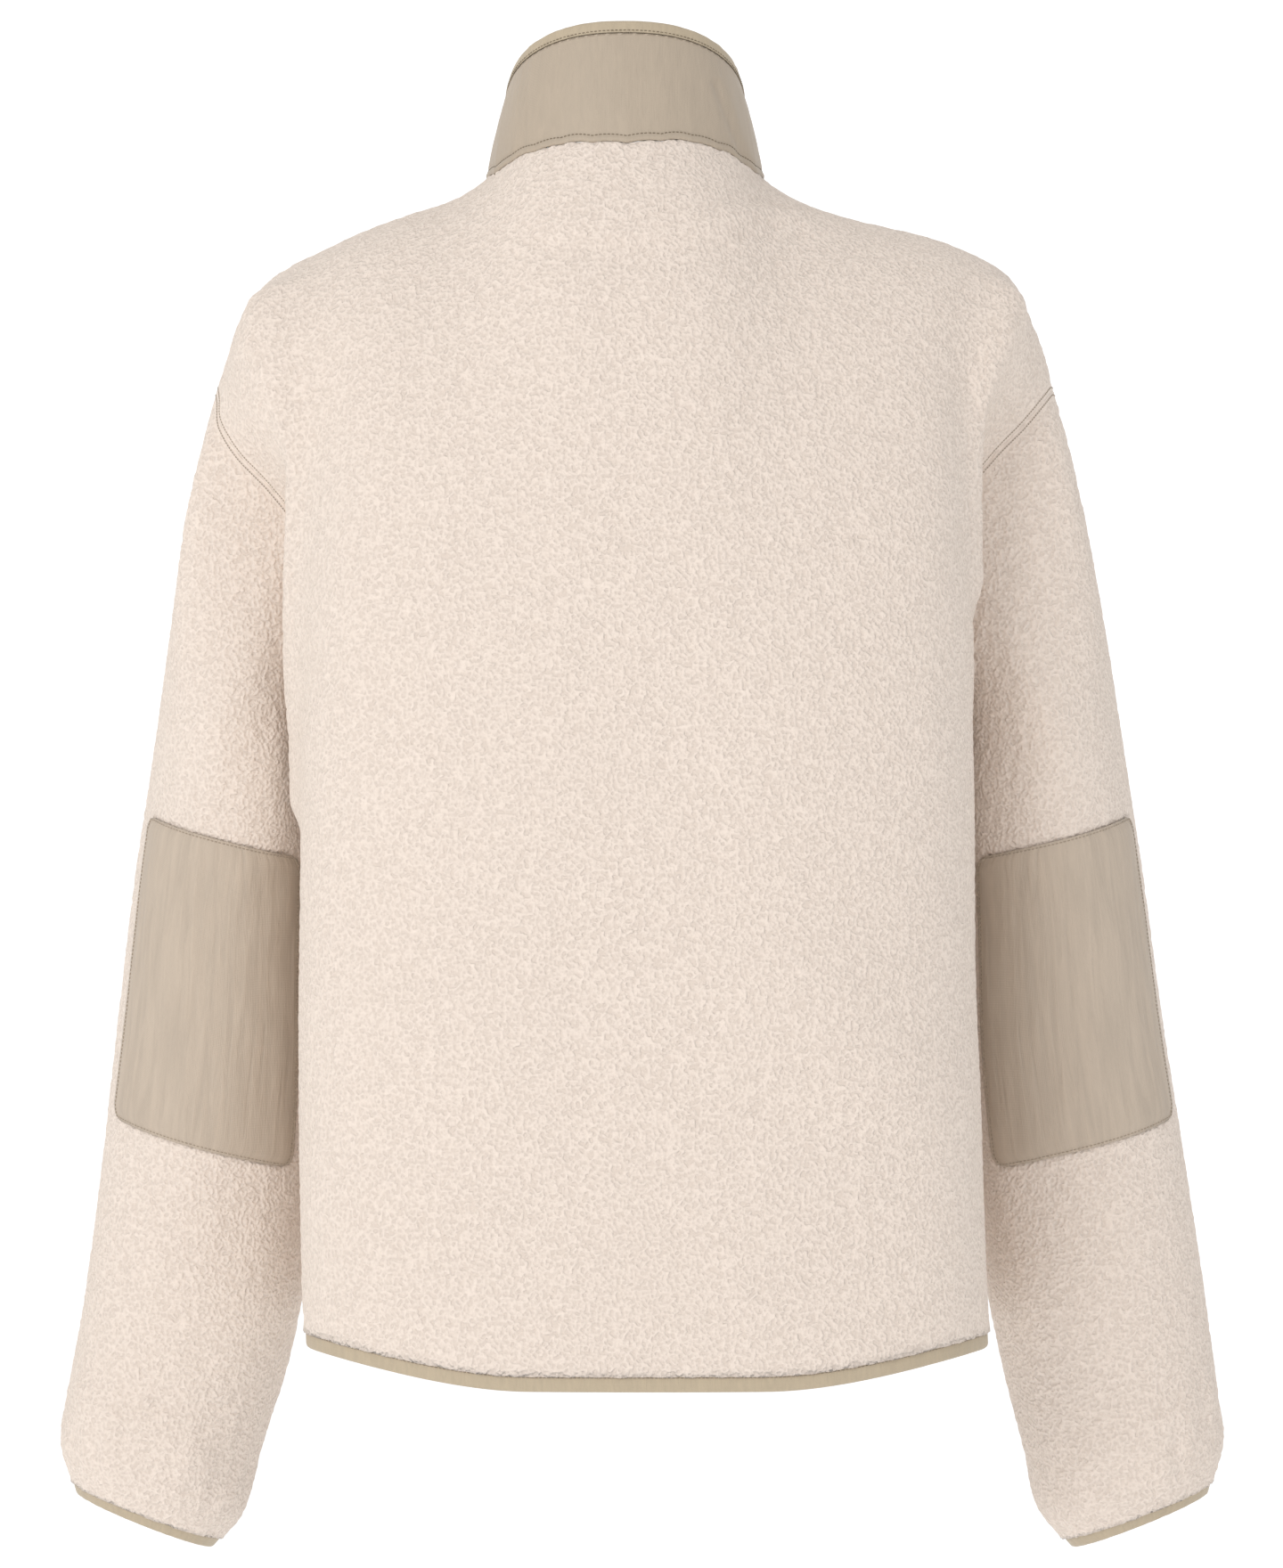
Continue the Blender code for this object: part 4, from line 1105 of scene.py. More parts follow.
def thread_finish(name, tint):
    """Twisted polyester thread."""
    thread = Finish(name, 0.7)
    twist = thread.node("TexNoise", Vector=thread.place(), Scale=2500.0, Detail=1.0)
    dark = tuple(channel * 0.8 for channel in tint)
    thread.set("Base Color", thread.mix(twist, dark, tuple(tint)))
    thread.set("Normal", thread.bump(twist, 0.0001, 0.6))
    thread.set("Sheen Weight", 0.2)
    return thread.material


def tape_finish():
    """Woven zip tape with a faint rib both ways."""
    tape = Finish("woven zip tape", 0.85)
    weave = tape.weave(tape.place(), "ZX", 330.0, 0.8)
    tape.set("Base Color", tape.mix(tape.ramp(weave, 0.0, 2.0, 0.0, 1.0), (0.34, 0.28, 0.20),
                                    (0.46, 0.385, 0.285)))
    tape.set("Normal", tape.bump(weave, 0.0002, 0.8))
    return tape.material


def coil_finish():
    """Moulded nylon coil, slightly glossy."""
    coil = Finish("zip coil", 0.42)
    grain = coil.node("TexNoise", Vector=coil.place(), Scale=900.0, Detail=2.0)
    coil.set("Base Color", coil.mix(grain, (0.38, 0.31, 0.22), (0.45, 0.375, 0.275)))
    coil.set("Roughness", coil.ramp(grain, 0.3, 0.7, 0.36, 0.5))
    return coil.material


def metal_finish():
    """Satin enamel on cast zinc, with paler rubbed spots."""
    metal = Finish("satin zip metal", 0.36, 1.0)
    grain = metal.node("TexNoise", Vector=metal.place(), Scale=700.0, Detail=3.0)
    metal.set("Base Color", metal.mix(grain, (0.30, 0.265, 0.215), (0.40, 0.355, 0.295)))
    metal.set("Roughness", metal.ramp(grain, 0.3, 0.7, 0.28, 0.46))
    metal.set("Normal", metal.bump(grain, 0.00005, 0.5))
    return metal.material


def finish(name):
    """A material by its name, made when it is first asked for."""
    makers = {
        "fleece": fleece_finish,
        "collar nylon": lambda: nylon_finish("collar nylon", settings("nylon").collar,
                                             (330.0, 60.0, 1.0), 0.08),
        "patch nylon": lambda: nylon_finish("patch nylon", settings("nylon").colour,
                                            (260.0, 22.0, 1.0), 0.15),
        "binding nylon": lambda: nylon_finish("binding nylon", settings("nylon").binding,
                                              (420.0, 160.0, 1.0), 0.12),
        # The collar's thread is darkened in part as painted shade of its stitch grooves.
        "thread": lambda: thread_finish("thread", settings("sewing").colour),
        "pale thread": lambda: thread_finish("pale thread", settings("sewing").pale),
        "tape": tape_finish,
        "coil": coil_finish,
        "metal": metal_finish,
    }
    if name not in FINISHED:
        FINISHED[name] = makers[name]()
    return FINISHED[name]


# ---- fleece ----

def pile(points):
    """Height of the curled pile at a place, from about -1 in a hollow to 1 on a curl."""
    look = settings("fleece")
    scale, reach = PILE_CURL
    lumps = nubs(stir(points, look.nub * scale, look.nub * reach, 3), look.nub, 40)
    share, scale = PILE_FRAY
    return PILE_LUMPS * lumps + share * noise(points, look.nub * scale, 91) - PILE_BASE


def near(distance, reach):
    """1 on a line and 0 beyond its reach."""
    return 1 - ease(distance / reach)


def edge_lengths(points, axis):
    """Distance of every point of a grid from its first and from its last row or column."""
    steps = np.linalg.norm(np.diff(points, axis=axis), axis=-1)
    zero = np.zeros_like(np.take(steps, [0], axis=axis))
    ahead = np.concatenate([zero, np.cumsum(steps, axis=axis)], axis=axis)
    return ahead, np.take(ahead, [-1], axis=axis) - ahead


def add_lip(outer, grid, row):
    """Rows that let the pile hang over the binding below an edge and turn back under it."""
    reach = settings("fleece").overhang
    points = grid["points"][row]
    within = grid["points"][1 if row == 0 else -2]
    down = unit(points - within)
    even, uneven, scale = LIP_RAGGED
    ragged = even + uneven * noise(points, scale, 17)
    hang = outer[row] + down * (reach * ragged)[..., None] - grid["inward"][row] * LIP_HANG
    within, share = LIP_UNDER
    under = points + grid["inward"][row] * within + down * SEAM_GAP * share
    return under, hang


def add_fleece(name, grid, height, seam, lips, cells, outward, keep=None):
    """A piled cloth from its grid, its pile's height, how far its topstitched seam is from
    each point and the edges it hangs over."""
    look = settings("fleece")
    outer = grid["points"] - grid["inward"] * (height * look.height)[..., None]
    inner = grid["points"] + grid["inward"] * (FLEECE - LINING_ROOM)
    for row in lips:
        under, hang = add_lip(outer, grid, row)
        outer[row] = under
        outer[1 if row == 0 else -2] = hang
    grid["outer"] = outer
    piece, used = add_shell(name, outer, inner, cells, grid["wrap"], outward, finish("fleece"),
                            keep)
    lining = inner[::cells[0], ::cells[1]].size // 3
    # The material paints shade from the pile number where the pile is low, and from the seam
    # number in the armhole seam's groove.
    for number, values, within in (("pile", height * 0.5 + 0.5, LINING_PILE),
                                   ("seam", seam, NO_SEAM)):
        whole = np.concatenate([values.ravel(), np.full(lining, within)])
        add_number(piece, number, whole[used])
    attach(piece, BODY)
    return piece


def crinkle(around, up, seed):
    """Height of the creases in crinkled nylon laid flat, from about -1 to 1."""
    (large, *large_size), (small, *small_size) = CRINKLES
    folds, fine = [np.stack([around / wide, up / high, np.zeros_like(around)], axis=-1)
                   for wide, high in (large_size, small_size)]
    folds = stir(folds, *CRINKLE_CURL, seed)
    return large * noise(folds, 1.0, seed + 1) + small * noise(fine, 1.0, seed + 2)


def sink(distance, depth, half_width):
    """How far a row of stitches pulls the cloth in beside it."""
    return depth * np.exp(-(distance / half_width) ** 2)


def lay_flat(points):
    """A grid's points laid out flat: how far round and how far up each one lies."""
    middle = points.shape[0] // 2
    around = walked(points[middle])
    up = edge_lengths(points, 0)[0]
    return np.broadcast_to(around, up.shape), up


def add_nylon(name, points, inward, lift, thickness, outward, material):
    """A thin nylon cloth with its creases, from its points and the way into it."""
    around, up = lay_flat(points)
    outer = points - inward * lift[..., None]
    inner = points + inward * thickness
    piece, used = add_shell(name, outer, inner, NYLON_LINING, False, outward, finish(material))
    flat = np.stack([around, up], axis=-1)
    lining = flat[::NYLON_LINING[0], ::NYLON_LINING[1]]
    add_uv(piece, np.concatenate([flat.reshape(-1, 2), lining.reshape(-1, 2)])[used])
    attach(piece, BODY)
    return piece, outer


class BuildCollar(bpy.types.Operator):
    """Build the crinkled nylon collar"""
    bl_idname = "pullover.collar"
    bl_label = "Collar"

    def execute(self, context):
        grid = collar_cloth(COLLAR_ROWS, COLLAR_CELLS)
        MADE["collar"] = grid
        points, inward = grid["points"], grid["inward"]
        around, up = lay_flat(points)
        top = edge_lengths(points, 0)[1]
        ends = np.minimum(*edge_lengths(points, 1))
        lift = settings("nylon").crinkle * crinkle(around, up, 5) * ease(ends / COLLAR_ENDS_FADE)
        lift = lift * ease(up / COLLAR_FOOT_FADE) * ease(top / COLLAR_TOP_FADE)
        lift = lift - sink(up - COLLAR_STITCHES, *COLLAR_DIP)
        height, *swell = COLLAR_ROLL
        lift = lift + sink(up - height, *swell)
        start, end = np.array(CREASE)
        line = end - start
        place = points[..., (0, 2)] - start
        part = np.clip(place @ line / (line @ line), 0, 1)
        away = np.linalg.norm(place - part[..., None] * line, axis=-1)
        behind = points[..., 1] < 0.01
        beside, *swell = CREASE_SWELL
        lift = lift - sink(away, *CREASE_DIP) * behind
        lift = lift + sink(away - beside, *swell) * behind * ease(up / 0.004)
        piece, outer = add_nylon("collar_cloth", points, inward, lift, NYLON, 1, "collar nylon")
        grid["outer"] = outer
        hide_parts("collar")
        return {"FINISHED"}


class BuildPatches(bpy.types.Operator):
    """Build the two crinkled nylon elbow patches"""
    bl_idname = "pullover.patches"
    bl_label = "Elbow patches"

    def execute(self, context):
        rows, columns = PATCH_CELLS
        down = np.linspace(0, 1, rows + 1)
        height = down * (PATCH_BOTTOM[0] - PATCH_TOP[0])
        reach = np.minimum(np.minimum(height, height[::-1]) / PATCH_CORNER, 1)
        trim = PATCH_CORNER / PATCH_RADIUS * (1 - np.sqrt(1 - (1 - reach) ** 2))
        part = np.linspace(0, 1, columns + 1)
        angle = (PATCH_OUTER_ANGLE + trim)[:, None] * (1 - part)
        angle = angle + (PATCH_INNER_ANGLE - trim)[:, None] * part
        top, bottom = patch_ways(angle)
        ways = top + (bottom - top) * down[:, None]
        for side, word in ((-1, "left"), (1, "right")):
            base, inward = read_sleeve(MADE[side], ways, angle)
            points = base - inward * (PATCH_GAP + NYLON)
            around, up = lay_flat(points)
            edge = patch_edge(ways, angle)
            lift = settings("nylon").crinkle * PATCH_CRINKLE * crinkle(around, up, 25 + side)
            lift = lift * ease(edge / PATCH_FADE) - sink(edge - PATCH_STITCHES, *PATCH_DIP)
            depth, reach = PATCH_EDGE_DIP
            lift = lift - depth * near(edge, reach)
            swell, scale, reach = PATCH_WAVES
            lift = lift + swell * noise(points, scale, 33) * ease(edge / reach)
            piece, outer = add_nylon("patch_cloth_" + word, points, inward, lift, NYLON, side,
                                     "patch nylon")
            MADE["patch", side] = {"outer": outer, "inward": inward}
            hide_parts("patch_" + word)
        return {"FINISHED"}


def patch_ways(angle):
    """How far down a sleeve its patch begins and ends, at an angle round it."""
    part = (angle - PATCH_OUTER_ANGLE) / (PATCH_INNER_ANGLE - PATCH_OUTER_ANGLE)
    span = SLEEVE.last() - SLEEVE.first()
    return [CAP_END + (1 - CAP_END) * (first + (last - first) * np.clip(part, 0, 1)
                                       - SLEEVE.first()) / span
            for first, last in (PATCH_TOP, PATCH_BOTTOM)]


def patch_edge(ways, angle):
    """How far a place on a sleeve lies within its elbow patch's edge, negative outside."""
    top, bottom = patch_ways(angle)
    scale = (PATCH_BOTTOM[0] - PATCH_TOP[0]) / (bottom - top)
    down = np.minimum(ways - top, bottom - ways) * scale
    across = np.minimum(angle - PATCH_OUTER_ANGLE, PATCH_INNER_ANGLE - angle) * PATCH_RADIUS
    corner = np.hypot(np.minimum(down - PATCH_CORNER, 0), np.minimum(across - PATCH_CORNER, 0))
    return np.where((down < PATCH_CORNER) & (across < PATCH_CORNER), PATCH_CORNER - corner,
                    np.minimum(down, across))


def read_sleeve(grid, ways, angle):
    """Points of a sleeve's cloth and the ways into it, read between its fine grid's points."""
    rows = np.interp(ways, grid["ways"][:, 0], np.arange(len(grid["ways"])))
    columns = angle / (2 * math.pi) * grid["turns"].shape[1]
    low_row, low_column = rows.astype(int), columns.astype(int)
    up, across = (rows - low_row)[..., None], (columns - low_column)[..., None]

    def read_row(values, row):
        return values[row, low_column] * (1 - across) + values[row, low_column + 1] * across

    def read(values):
        return read_row(values, low_row) * (1 - up) + read_row(values, low_row + 1) * up

    return read(grid["points"]), unit(read(grid["inward"]))


# ---- bindings ----

def binding_outline(height):
    """A folded strip's section: its outside from front to back and its inside back again."""
    half = BINDING_WALL / 2
    wall = settings("nylon").strip
    turn = np.linspace(0, math.pi, BINDING_FOLD + 1)
    rows = []
    for reach, flip in ((half, 1), (half - wall, -1)):
        straight = np.linspace(SEAM_GAP, height - half, BINDING_SIDE + 1)[:-1]
        side = [(reach, depth) for depth in straight]
        fold = [(reach * math.cos(t), height - half + reach * math.sin(t)) for t in turn]
        back = [(-reach, depth) for depth in straight[::-1]]
        rows += (side + fold + back)[::flip]
    return np.array(rows)


def add_bar(name, sections, closed, turn, material):
    """Skins a row of closed sections; an open row gets a flat end at each side."""
    count, around = sections.shape[:2]
    k, m = np.meshgrid(np.arange(count if closed else count - 1), np.arange(around),
                       indexing="ij")
    quads = np.stack([k * around + m, k * around + (m + 1) % around,
                      (k + 1) % count * around + (m + 1) % around,
                      (k + 1) % count * around + m], axis=-1).reshape(-1, 4)
    faces = quads.tolist()
    if not closed:
        half = around // 2
        for row, flip in ((0, -1), (count - 1, 1)):
            strip = [(row * around + j, row * around + j + 1, (row + 1) * around - j - 2,
                      (row + 1) * around - j - 1) for j in range(half - 1)]
            faces += [face[::flip] for face in strip]
    if turn < 0:
        faces = [face[::-1] for face in faces]
    return add_mesh(name, sections.reshape(-1, 3), faces, material)


def add_binding(name, outer, inner, beyond, height, closed, turn, seed):
    """A puckered strip folded round a cloth's edge, and the line that its stitches follow."""
    middle = (outer + inner) / 2
    across = unit(outer - inner)
    down = unit(beyond - np.sum(beyond * across, axis=-1, keepdims=True) * across)
    way = walked(np.concatenate([middle, middle[:1]]))
    way, total = way[:-1], way[-1]
    outline = binding_outline(height)
    depth_of_puckers, scale, stretch, reach = BINDING_PUCKERS
    sections, flats = [], []
    for k, (side, depth) in enumerate(outline):
        angle = way / total * 2 * math.pi
        ring = np.stack([np.cos(angle), np.sin(angle)], -1)
        place = np.concatenate([ring * total / (2 * math.pi), np.full((len(way), 1), depth)], -1)
        pucker = noise(place * [1, 1, stretch], scale, seed) * depth_of_puckers
        fade = ease((depth - SEAM_GAP) / reach)
        push = (pucker * fade - sink(depth - BINDING_STITCHES, *BINDING_DIP)) * np.sign(side)
        sections.append(middle + across * (side + push)[:, None] + down * depth)
        flats.append(np.stack([way, np.full_like(way, k * BINDING_ROW)], axis=-1))
    sections = np.stack(sections, axis=1)
    piece = add_bar(name, sections, closed, turn, finish("binding nylon"))
    add_uv(piece, np.stack(flats, axis=1).reshape(-1, 2))
    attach(piece, BODY)
    seam = middle + across * (BINDING_WALL / 2 - STITCHES_SUNK) + down * BINDING_STITCHES
    return piece, seam, across


class BuildBindings(bpy.types.Operator):
    """Build the folded bindings of the hem, the cuffs and the collar"""
    bl_idname = "pullover.bindings"
    bl_label = "Bindings"

    def execute(self, context):
        back, front = MADE["back"], MADE["front"]
        step = PANEL_CELLS[0]

        def walls(row):
            return row["points"] + row["inward"] * FLEECE

        outer = np.concatenate([back["points"][0], front["points"][0][::-1]])
        inner = np.concatenate([walls(back)[0], walls(front)[0][::-1]])
        above = np.concatenate([back["points"][step], front["points"][step][::-1]])
        corner = len(back["points"][0])
        for line in (outer, inner, above):
            line[corner - 1] = (line[corner - 1] + line[corner]) / 2
            line[0] = (line[0] + line[-1]) / 2
        keep = [k for k in range(len(outer)) if k not in (corner, len(outer) - 1)]
        outer, inner, above = outer[keep], inner[keep], above[keep]
        piece, seam, out = add_binding("hem_strip", outer, inner, outer - above, HEM_BINDING, True,
                                       1, 201)
        MADE["hem seam"] = (seam, out, True)
        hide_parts("hem_binding")
        for side, word in ((-1, "left"), (1, "right")):
            grid = MADE[side]
            beyond = grid["points"][-1] - grid["points"][-1 - SLEEVE_CELLS[0]]
            piece, seam, out = add_binding("cuff_strip_" + word, grid["points"][-1],
                                           walls(grid)[-1], beyond, CUFF_BINDING, True, -side,
                                           301 + side)
            MADE["cuff seam", side] = (seam, out, True)
            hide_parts("cuff_binding_" + word)
        collar = MADE["collar"]
        inner = collar["points"] + collar["inward"] * NYLON
        beyond = collar["points"][-1] - collar["points"][-9]
        piece, seam, out = add_binding("collar_strip", collar["points"][-1], inner[-1], beyond,
                                       COLLAR_BINDING, False, -1, 401)
        MADE["collar seam"] = (seam, out, False)
        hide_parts("collar_binding")
        return {"FINISHED"}


# ---- sewing ----

def thread_bar(pitch):
    """One stitch: places of its skin along, across and above its line, and its faces."""
    look = settings("sewing")
    skin = []
    for part, rise, size in STITCH_STATIONS:
        for k in range(STITCH_SIDES):
            turn = 2 * math.pi * k / STITCH_SIDES
            skin.append((part * pitch, math.cos(turn) * look.thread * size,
                         (rise + math.sin(turn) * size) * look.thread))
    return np.array(skin), tube_faces(0, len(STITCH_STATIONS), STITCH_SIDES)


def tube_faces(start, rows, sides):
    """Faces of a closed tube whose rings of points follow each other from a first point."""
    faces = []
    for row in range(rows - 1):
        for k in range(sides):
            a, b = start + row * sides + k, start + row * sides + (k + 1) % sides
            faces.append((a, a + sides, b + sides, b))
    faces.append(tuple(range(start, start + sides)))
    faces.append(tuple(range(start + (rows - 1) * sides, start + rows * sides))[::-1])
    return faces


def sew(name, lines, material, pitch):
    """Stitches along lines, each a row of points, the ways out of the cloth and if it closes."""
    skin, faces = thread_bar(pitch)
    places, all_faces = [], []
    for line, out, closed in lines:
        if closed:
            line, out = np.concatenate([line, line[:1]]), np.concatenate([out, out[:1]])
        way = walked(line)
        count = max(int(way[-1] / pitch), 1)
        at = (np.arange(count) + 0.5) * way[-1] / count
        forward = unit(read_along(line, way, at + AHEAD) - read_along(line, way, at - AHEAD))
        up = unit(read_along(out, way, at))
        up = unit(up - np.sum(up * forward, axis=-1, keepdims=True) * forward)
        beside = np.cross(up, forward)
        middle = read_along(line, way, at)
        for k in range(count):
            start = len(places) * len(skin)
            places.append(middle[k] + skin[:, :1] * forward[k] + skin[:, 1:2] * beside[k]
                          + skin[:, 2:] * up[k])
            all_faces += [tuple(corner + start for corner in face) for face in faces]
    piece = add_mesh(name, np.concatenate(places), all_faces, finish(material))
    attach(piece, BODY)
    return piece


def line_in(outer, inward, axis, end, distance):
    """The line a distance in from an edge of a grid, with the ways out of the cloth there."""
    values = outer if axis else outer.swapaxes(0, 1)
    ways = inward if axis else inward.swapaxes(0, 1)
    if end:
        values, ways = values[:, ::-1], ways[:, ::-1]
    values, ways = values[:, :LINE_CELLS], ways[:, :LINE_CELLS]
    spans = edge_lengths(values, 1)[0]
    line, within = [np.array([read_along(row, span, distance) for row, span in zip(rows, spans)])
                    for rows in (values, ways)]
    return line, -within


def outline_in(grid, distance):
    """The line a distance in from a patch's edge, all the way round."""
    outer, inward = grid["outer"], grid["inward"]
    middle = outer.shape[1] // 2
    down = edge_lengths(outer[:, middle:middle + 1], 0)[0][:, 0]
    first = int(np.argmin(np.abs(down - distance)))
    last = outer.shape[0] - 1 - first
    spans = edge_lengths(outer, 1)[0]
    top, foot = [(spans[row] > distance) & (spans[row] < spans[row, -1] - distance)
                 for row in (first, last)]
    left = line_in(outer, inward, 1, 0, distance)
    right = line_in(outer, inward, 1, -1, distance)
    line, out = [np.concatenate([values[first, top], right[k][first:last + 1],
                                 values[last, foot][::-1], left[k][first:last + 1][::-1]])
                 for k, values in enumerate((outer, -inward))]
    return line, out, True


class Sew(bpy.types.Operator):
    """Sew the rows of stitches round the armholes, the patches, the bindings and the collar"""
    bl_idname = "pullover.sew"
    bl_label = "Stitches"

    def execute(self, context):
        back, front, collar = MADE["back"], MADE["front"], MADE["collar"]
        pitch = settings("sewing").pitch
        start = SIDE_STEPS * PANEL_CELLS[0]
        for side, word in ((-1, "left"), (1, "right")):
            end = 0 if side < 0 else -1
            halves = []
            for grid in (back, front):
                line, out = line_in(grid["outer"], grid["inward"], 1, end, ARMHOLE_ROWS)
                halves.append((line[start:], out[start:]))
            line = np.concatenate([halves[0][0], halves[1][0][::-1]])
            out = np.concatenate([halves[0][1], halves[1][1][::-1]])
            sleeve = MADE[side]
            on_sleeve = line_in(sleeve["outer"], sleeve["inward"], 0, 0, ARMHOLE_ROWS)
            sew("armhole_stitches_" + word, [(line, out, True), (*on_sleeve, True)],
                "pale thread", settings("sewing").fine)
            edge = outline_in(MADE["patch", side], PATCH_STITCHES)
            sew("patch_stitches_" + word, [edge], "pale thread", pitch)
            edge = MADE["cuff seam", side]
            sew("cuff_stitches_" + word, [edge], "pale thread", pitch)
        sew("hem_stitches", [MADE["hem seam"]], "pale thread", pitch)
        above = line_in(collar["outer"], collar["inward"], 0, 0, COLLAR_STITCHES)
        sew("collar_stitches", [MADE["collar seam"], (*above, False)], "thread", pitch)
        return {"FINISHED"}


# ---- zip ----

def zip_line(shares, steps):
    """Rows of points of the zip's line on the outside of the front panel and collar."""
    rises = [rise for rise in panel_rises() if rise >= SLIT_RISE - NEARLY]
    rises = refine(np.array([SLIT_RISE - TAPE_TAIL, *rises]), steps)
    rows = [panel_point(shares, rise, True) for rise in rises]
    above = np.linspace(0, 1, COLLAR_STEPS * steps + 1)[1:]
    rows += [collar_point(shares, rise, True) for rise in above]
    return np.array(rows), len(rises)


class BuildZip(bpy.types.Operator):
    """Build the zip's woven tapes and its coil, and finish the slider and the pull tab"""
    bl_idname = "pullover.zip"
    bl_label = "Zip"

    def execute(self, context):
        half = np.linspace(COIL_SHARE, TAPE_SHARE, TAPE_COLUMNS)
        shares = np.concatenate([-half[::-1], half])
        points, panel_rows = zip_line(shares, 12)
        inward = grid_normals(points, False, 1)
        depth = np.full(len(points), NYLON + TAPE_GAP)
        depth[:panel_rows] = FLEECE + TAPE_GAP
        face = points + inward * depth[:, None, None]
        rows = (len(face) - 1) // TAPE_CELLS * TAPE_CELLS + 1
        for word, part in (("left", slice(None, TAPE_COLUMNS)),
                           ("right", slice(TAPE_COLUMNS, None))):
            inner = face[:, part] + inward[:, part] * TAPE_WALL
            piece, _ = add_shell("tape_" + word, face[:rows, part], inner[:rows],
                                 (TAPE_CELLS, TAPE_CELLS), False, -1, finish("tape"))
            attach(piece, BODY)
            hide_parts("zip_tape_" + word)
        inner_edges = slice(TAPE_COLUMNS - 1, TAPE_COLUMNS + 1)
        centre = face[:, inner_edges].mean(axis=1)
        out = -unit(inward[:, inner_edges].sum(axis=1))
        self.add_coil(centre[2:-2], out[2:-2])
        for node in ("zip_slider", "zip_pull"):
            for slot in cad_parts[node].material_slots:
                slot.material = finish("metal")
        return {"FINISHED"}

    def add_coil(self, centre, out):
        """Teeth laid in turn from the left and from the right across the middle."""
        way = walked(centre)
        places, faces = [], []
        for k in range(int(way[-1] / TOOTH_PITCH)):
            at = (k + 0.5) * TOOTH_PITCH
            middle = read_along(centre, way, at)
            up = unit(read_along(centre, way, at + SMALL_STEP) - middle)
            face = unit(read_along(out, way, at))
            hand = 1 if k % 2 else -1
            side = np.cross(up, face) * hand
            tube = tube_faces(len(places), len(TOOTH_STATIONS), TOOTH_SIDES)
            faces += [corners if hand < 0 else corners[::-1] for corners in tube]
            for x, size in TOOTH_STATIONS:
                for j in range(TOOTH_SIDES):
                    turn = 2 * math.pi * j / TOOTH_SIDES
                    wide = TOOTH_FLATNESS * TOOTH_THICK * size * math.cos(turn)
                    high = TOOTH_LIFT + TOOTH_THICK * size * math.sin(turn)
                    places.append(middle + side * x + up * wide + face * high)
        piece = add_mesh("zip_coil", np.array(places), faces, finish("coil"))
        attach(piece, BODY)


class BuildFleece(bpy.types.Operator):
    """Build the back, the front and both sleeves with their pile"""
    bl_idname = "pullover.fleece"
    bl_label = "Fleece"

    def execute(self, context):
        cloth = cloths()
        for word, front, flat, area in (("back", False, (0.50, 0.68), 0.32),
                                        ("front", True, (0.52, 0.60), 0.24)):
            grid = cloth[word]
            height = pile(grid["points"])
            sides = np.minimum(*edge_lengths(grid["points"], 1))
            top = edge_lengths(grid["points"], 0)[1]
            armhole = ease(grid["rises"] / ARMHOLE_FADE)
            shoulder = ease((np.abs(grid["shares"]) - NECK_SHARE) / SHOULDER_FADE)
            seam = sides + NO_SEAM * (1 - armhole)
            height = height * ease(seam / PILE_FADE) + SEAM_LIFT * near(seam, SEAM_LIFT_REACH)
            height = height - SHOULDER_DIP * near(top, SHOULDER_DIP_REACH) * shoulder
            piece = add_fleece("fleece_" + word, grid, height, seam, (0,), LINING_CELLS["panel"],
                               -1 if front else 1, slit_mask(grid) if front else None)
            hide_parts(word + "_panel")
        for side, word in ((-1, "left"), (1, "right")):
            grid = cloth[side]
            height = pile(grid["points"])
            top = edge_lengths(grid["points"], 0)[0]
            height = height * ease(top / PILE_FADE) + SEAM_LIFT * near(top, SEAM_LIFT_REACH)
            inside = patch_edge(grid["ways"], grid["turns"] * 2 * math.pi)
            depth, reach = UNDER_PATCH
            height = np.where(inside > 0, -depth * ease(inside / reach), height)
            rim = near(np.abs(inside + PATCH_RIM_REACH), PATCH_RIM_REACH) * (inside < 0)
            height = height + PATCH_RIM * rim
            piece = add_fleece("fleece_sleeve_" + word, grid, height, top, (-1,),
                               LINING_CELLS["sleeve"], side)
            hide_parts("sleeve_" + word)
        return {"FINISHED"}


def cloths():
    """The fine grids of the panels and sleeves, made once."""
    if not MADE:
        MADE["back"] = panel_cloth(False)
        MADE["front"] = panel_cloth(True)
        MADE[-1] = sleeve_cloth(-1)
        MADE[1] = sleeve_cloth(1)
        meet_seams(MADE["back"], MADE["front"], {-1: MADE[-1], 1: MADE[1]})
    return MADE


def slit_mask(grid):
    """Which cells of the front panel there are: the zip's slit is left out."""
    rows, columns = grid["points"].shape[:2]
    keep = np.ones((rows - 1, columns - 1), dtype=bool)
    middle = (columns - 1) // 2
    half = LINING_CELLS["panel"][1] // 2
    first = (SIDE_STEPS + round(SLIT_RISE * ARMHOLE_STEPS)) * PANEL_CELLS[0]
    keep[first:, middle - half:middle + half + 1] = False
    return keep


# ---- stage ----

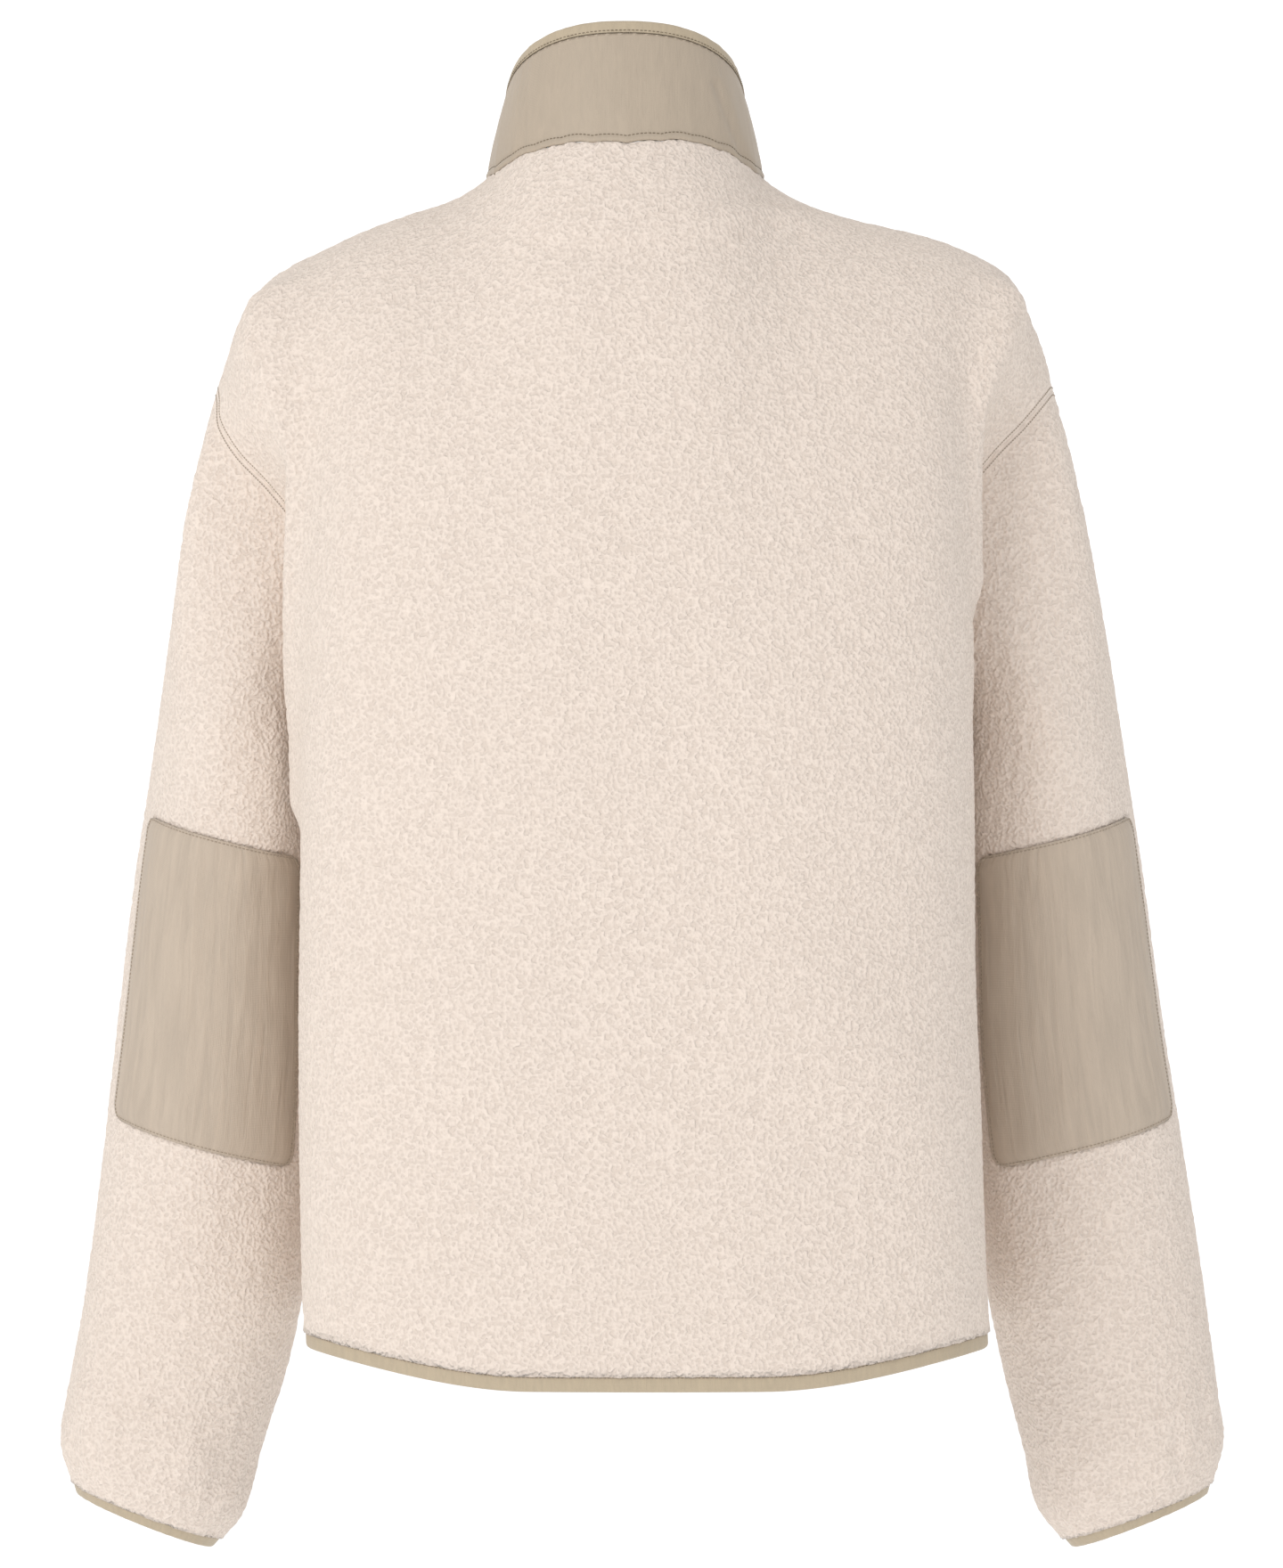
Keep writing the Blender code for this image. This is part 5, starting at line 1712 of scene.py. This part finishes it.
class BuildStage(bpy.types.Operator):
    """Set up the floor, the backdrop, the lights and the camera"""
    bl_idname = "pullover.stage"
    bl_label = "Stage"

    def execute(self, context):
        look = settings("stage")
        paper = Finish("pale paper", 0.9)
        grain = paper.node("TexNoise", Vector=paper.place(), Scale=3.0, Detail=1.0)
        pale = tuple(look.ground)
        paper.set("Base Color", paper.mix(grain, tuple(c * 0.99 for c in pale), pale))
        paper.set("Emission Color", (1.0, 1.0, 1.0))
        paper.set("Emission Strength", PAPER_GLOW)
        across, profile = np.meshgrid(np.linspace(-SWEEP_HALF_WIDTH, SWEEP_HALF_WIDTH, 9),
                                      np.linspace(0, 1, 33))
        (near_end, far_end), (bend, wall) = FLOOR_ENDS, SWEEP_PARTS
        turn = np.clip((profile - bend) / (wall - bend), 0, 1) * math.pi / 2
        y = near_end + (far_end - near_end) * np.minimum(profile / bend, 1)
        y = y + SWEEP_RADIUS * np.sin(turn)
        z = FLOOR + SWEEP_RADIUS * (1 - np.cos(turn))
        z = z + WALL_HEIGHT * np.clip((profile - wall) / (1 - wall), 0, 1)
        points = np.stack([across, y, z], axis=-1)
        quads = grid_quads(*across.shape, False)
        sweep = add_mesh("paper_sweep", points.reshape(-1, 3), quads.tolist(), paper.material)
        world = bpy.data.worlds.new("studio")
        context.scene.world = world
        context.scene.view_settings.view_transform = "Standard"
        world.use_nodes = True
        background = world.node_tree.nodes["Background"]
        background.inputs["Color"].default_value = (1.0, 1.0, 1.0, 1.0)
        background.inputs["Strength"].default_value = look.sky
        add_light("key", look.key, *KEY_LIGHT)
        add_light("fill", look.fill, *FILL_LIGHT)
        data = bpy.data.cameras.new("camera")
        data.lens = CAMERA_LENS
        data.sensor_width = CAMERA_SENSOR
        camera = bpy.data.objects.new("camera", data)
        camera.location = CAMERA_PLACE
        camera.rotation_euler = (math.pi / 2, 0.0, 0.0)
        context.scene.collection.objects.link(camera)
        context.scene.camera = camera
        return {"FINISHED"}


def add_light(name, power, place, size, tint):
    """A square soft light that faces the middle of the garment."""
    data = bpy.data.lights.new(name, "AREA")
    data.energy = power
    data.size = size
    data.color = tint
    light = bpy.data.objects.new(name, data)
    light.location = place
    way = np.array(AIM) - np.array(place)
    light.rotation_euler = (math.acos(-way[2] / np.linalg.norm(way)), 0.0,
                            math.atan2(way[1], way[0]) - math.pi / 2)
    bpy.context.scene.collection.objects.link(light)


class PulloverPanel(bpy.types.Panel):
    """Lists the pieces of the pullover and the stage"""
    bl_idname = "VIEW3D_PT_pullover"
    bl_label = "Fleece pullover"
    bl_space_type = "VIEW_3D"
    bl_region_type = "UI"
    bl_category = "Pullover"

    def draw(self, context):
        for name, group in SETTINGS:
            box = self.layout.box()
            box.label(text=name.capitalize())
            for key in group.__annotations__:
                box.prop(settings(name), key)
        for operator in OPERATORS:
            self.layout.operator(operator.bl_idname)


OPERATORS = (BuildStage, BuildFleece, BuildCollar, BuildPatches, BuildBindings, Sew, BuildZip)
CLASSES = (*[group for _, group in SETTINGS], *OPERATORS, PulloverPanel)


def register():
    for item in CLASSES:
        bpy.utils.register_class(item)
    for name, group in SETTINGS:
        setattr(bpy.types.Scene, "pullover_" + name, PointerProperty(type=group))


def unregister():
    for name, _ in SETTINGS:
        delattr(bpy.types.Scene, "pullover_" + name)
    for item in reversed(CLASSES):
        bpy.utils.unregister_class(item)


def main():
    register()
    for operator in OPERATORS:
        group, name = operator.bl_idname.split(".")
        getattr(getattr(bpy.ops, group), name)()


if __name__ == "__main__":
    main()
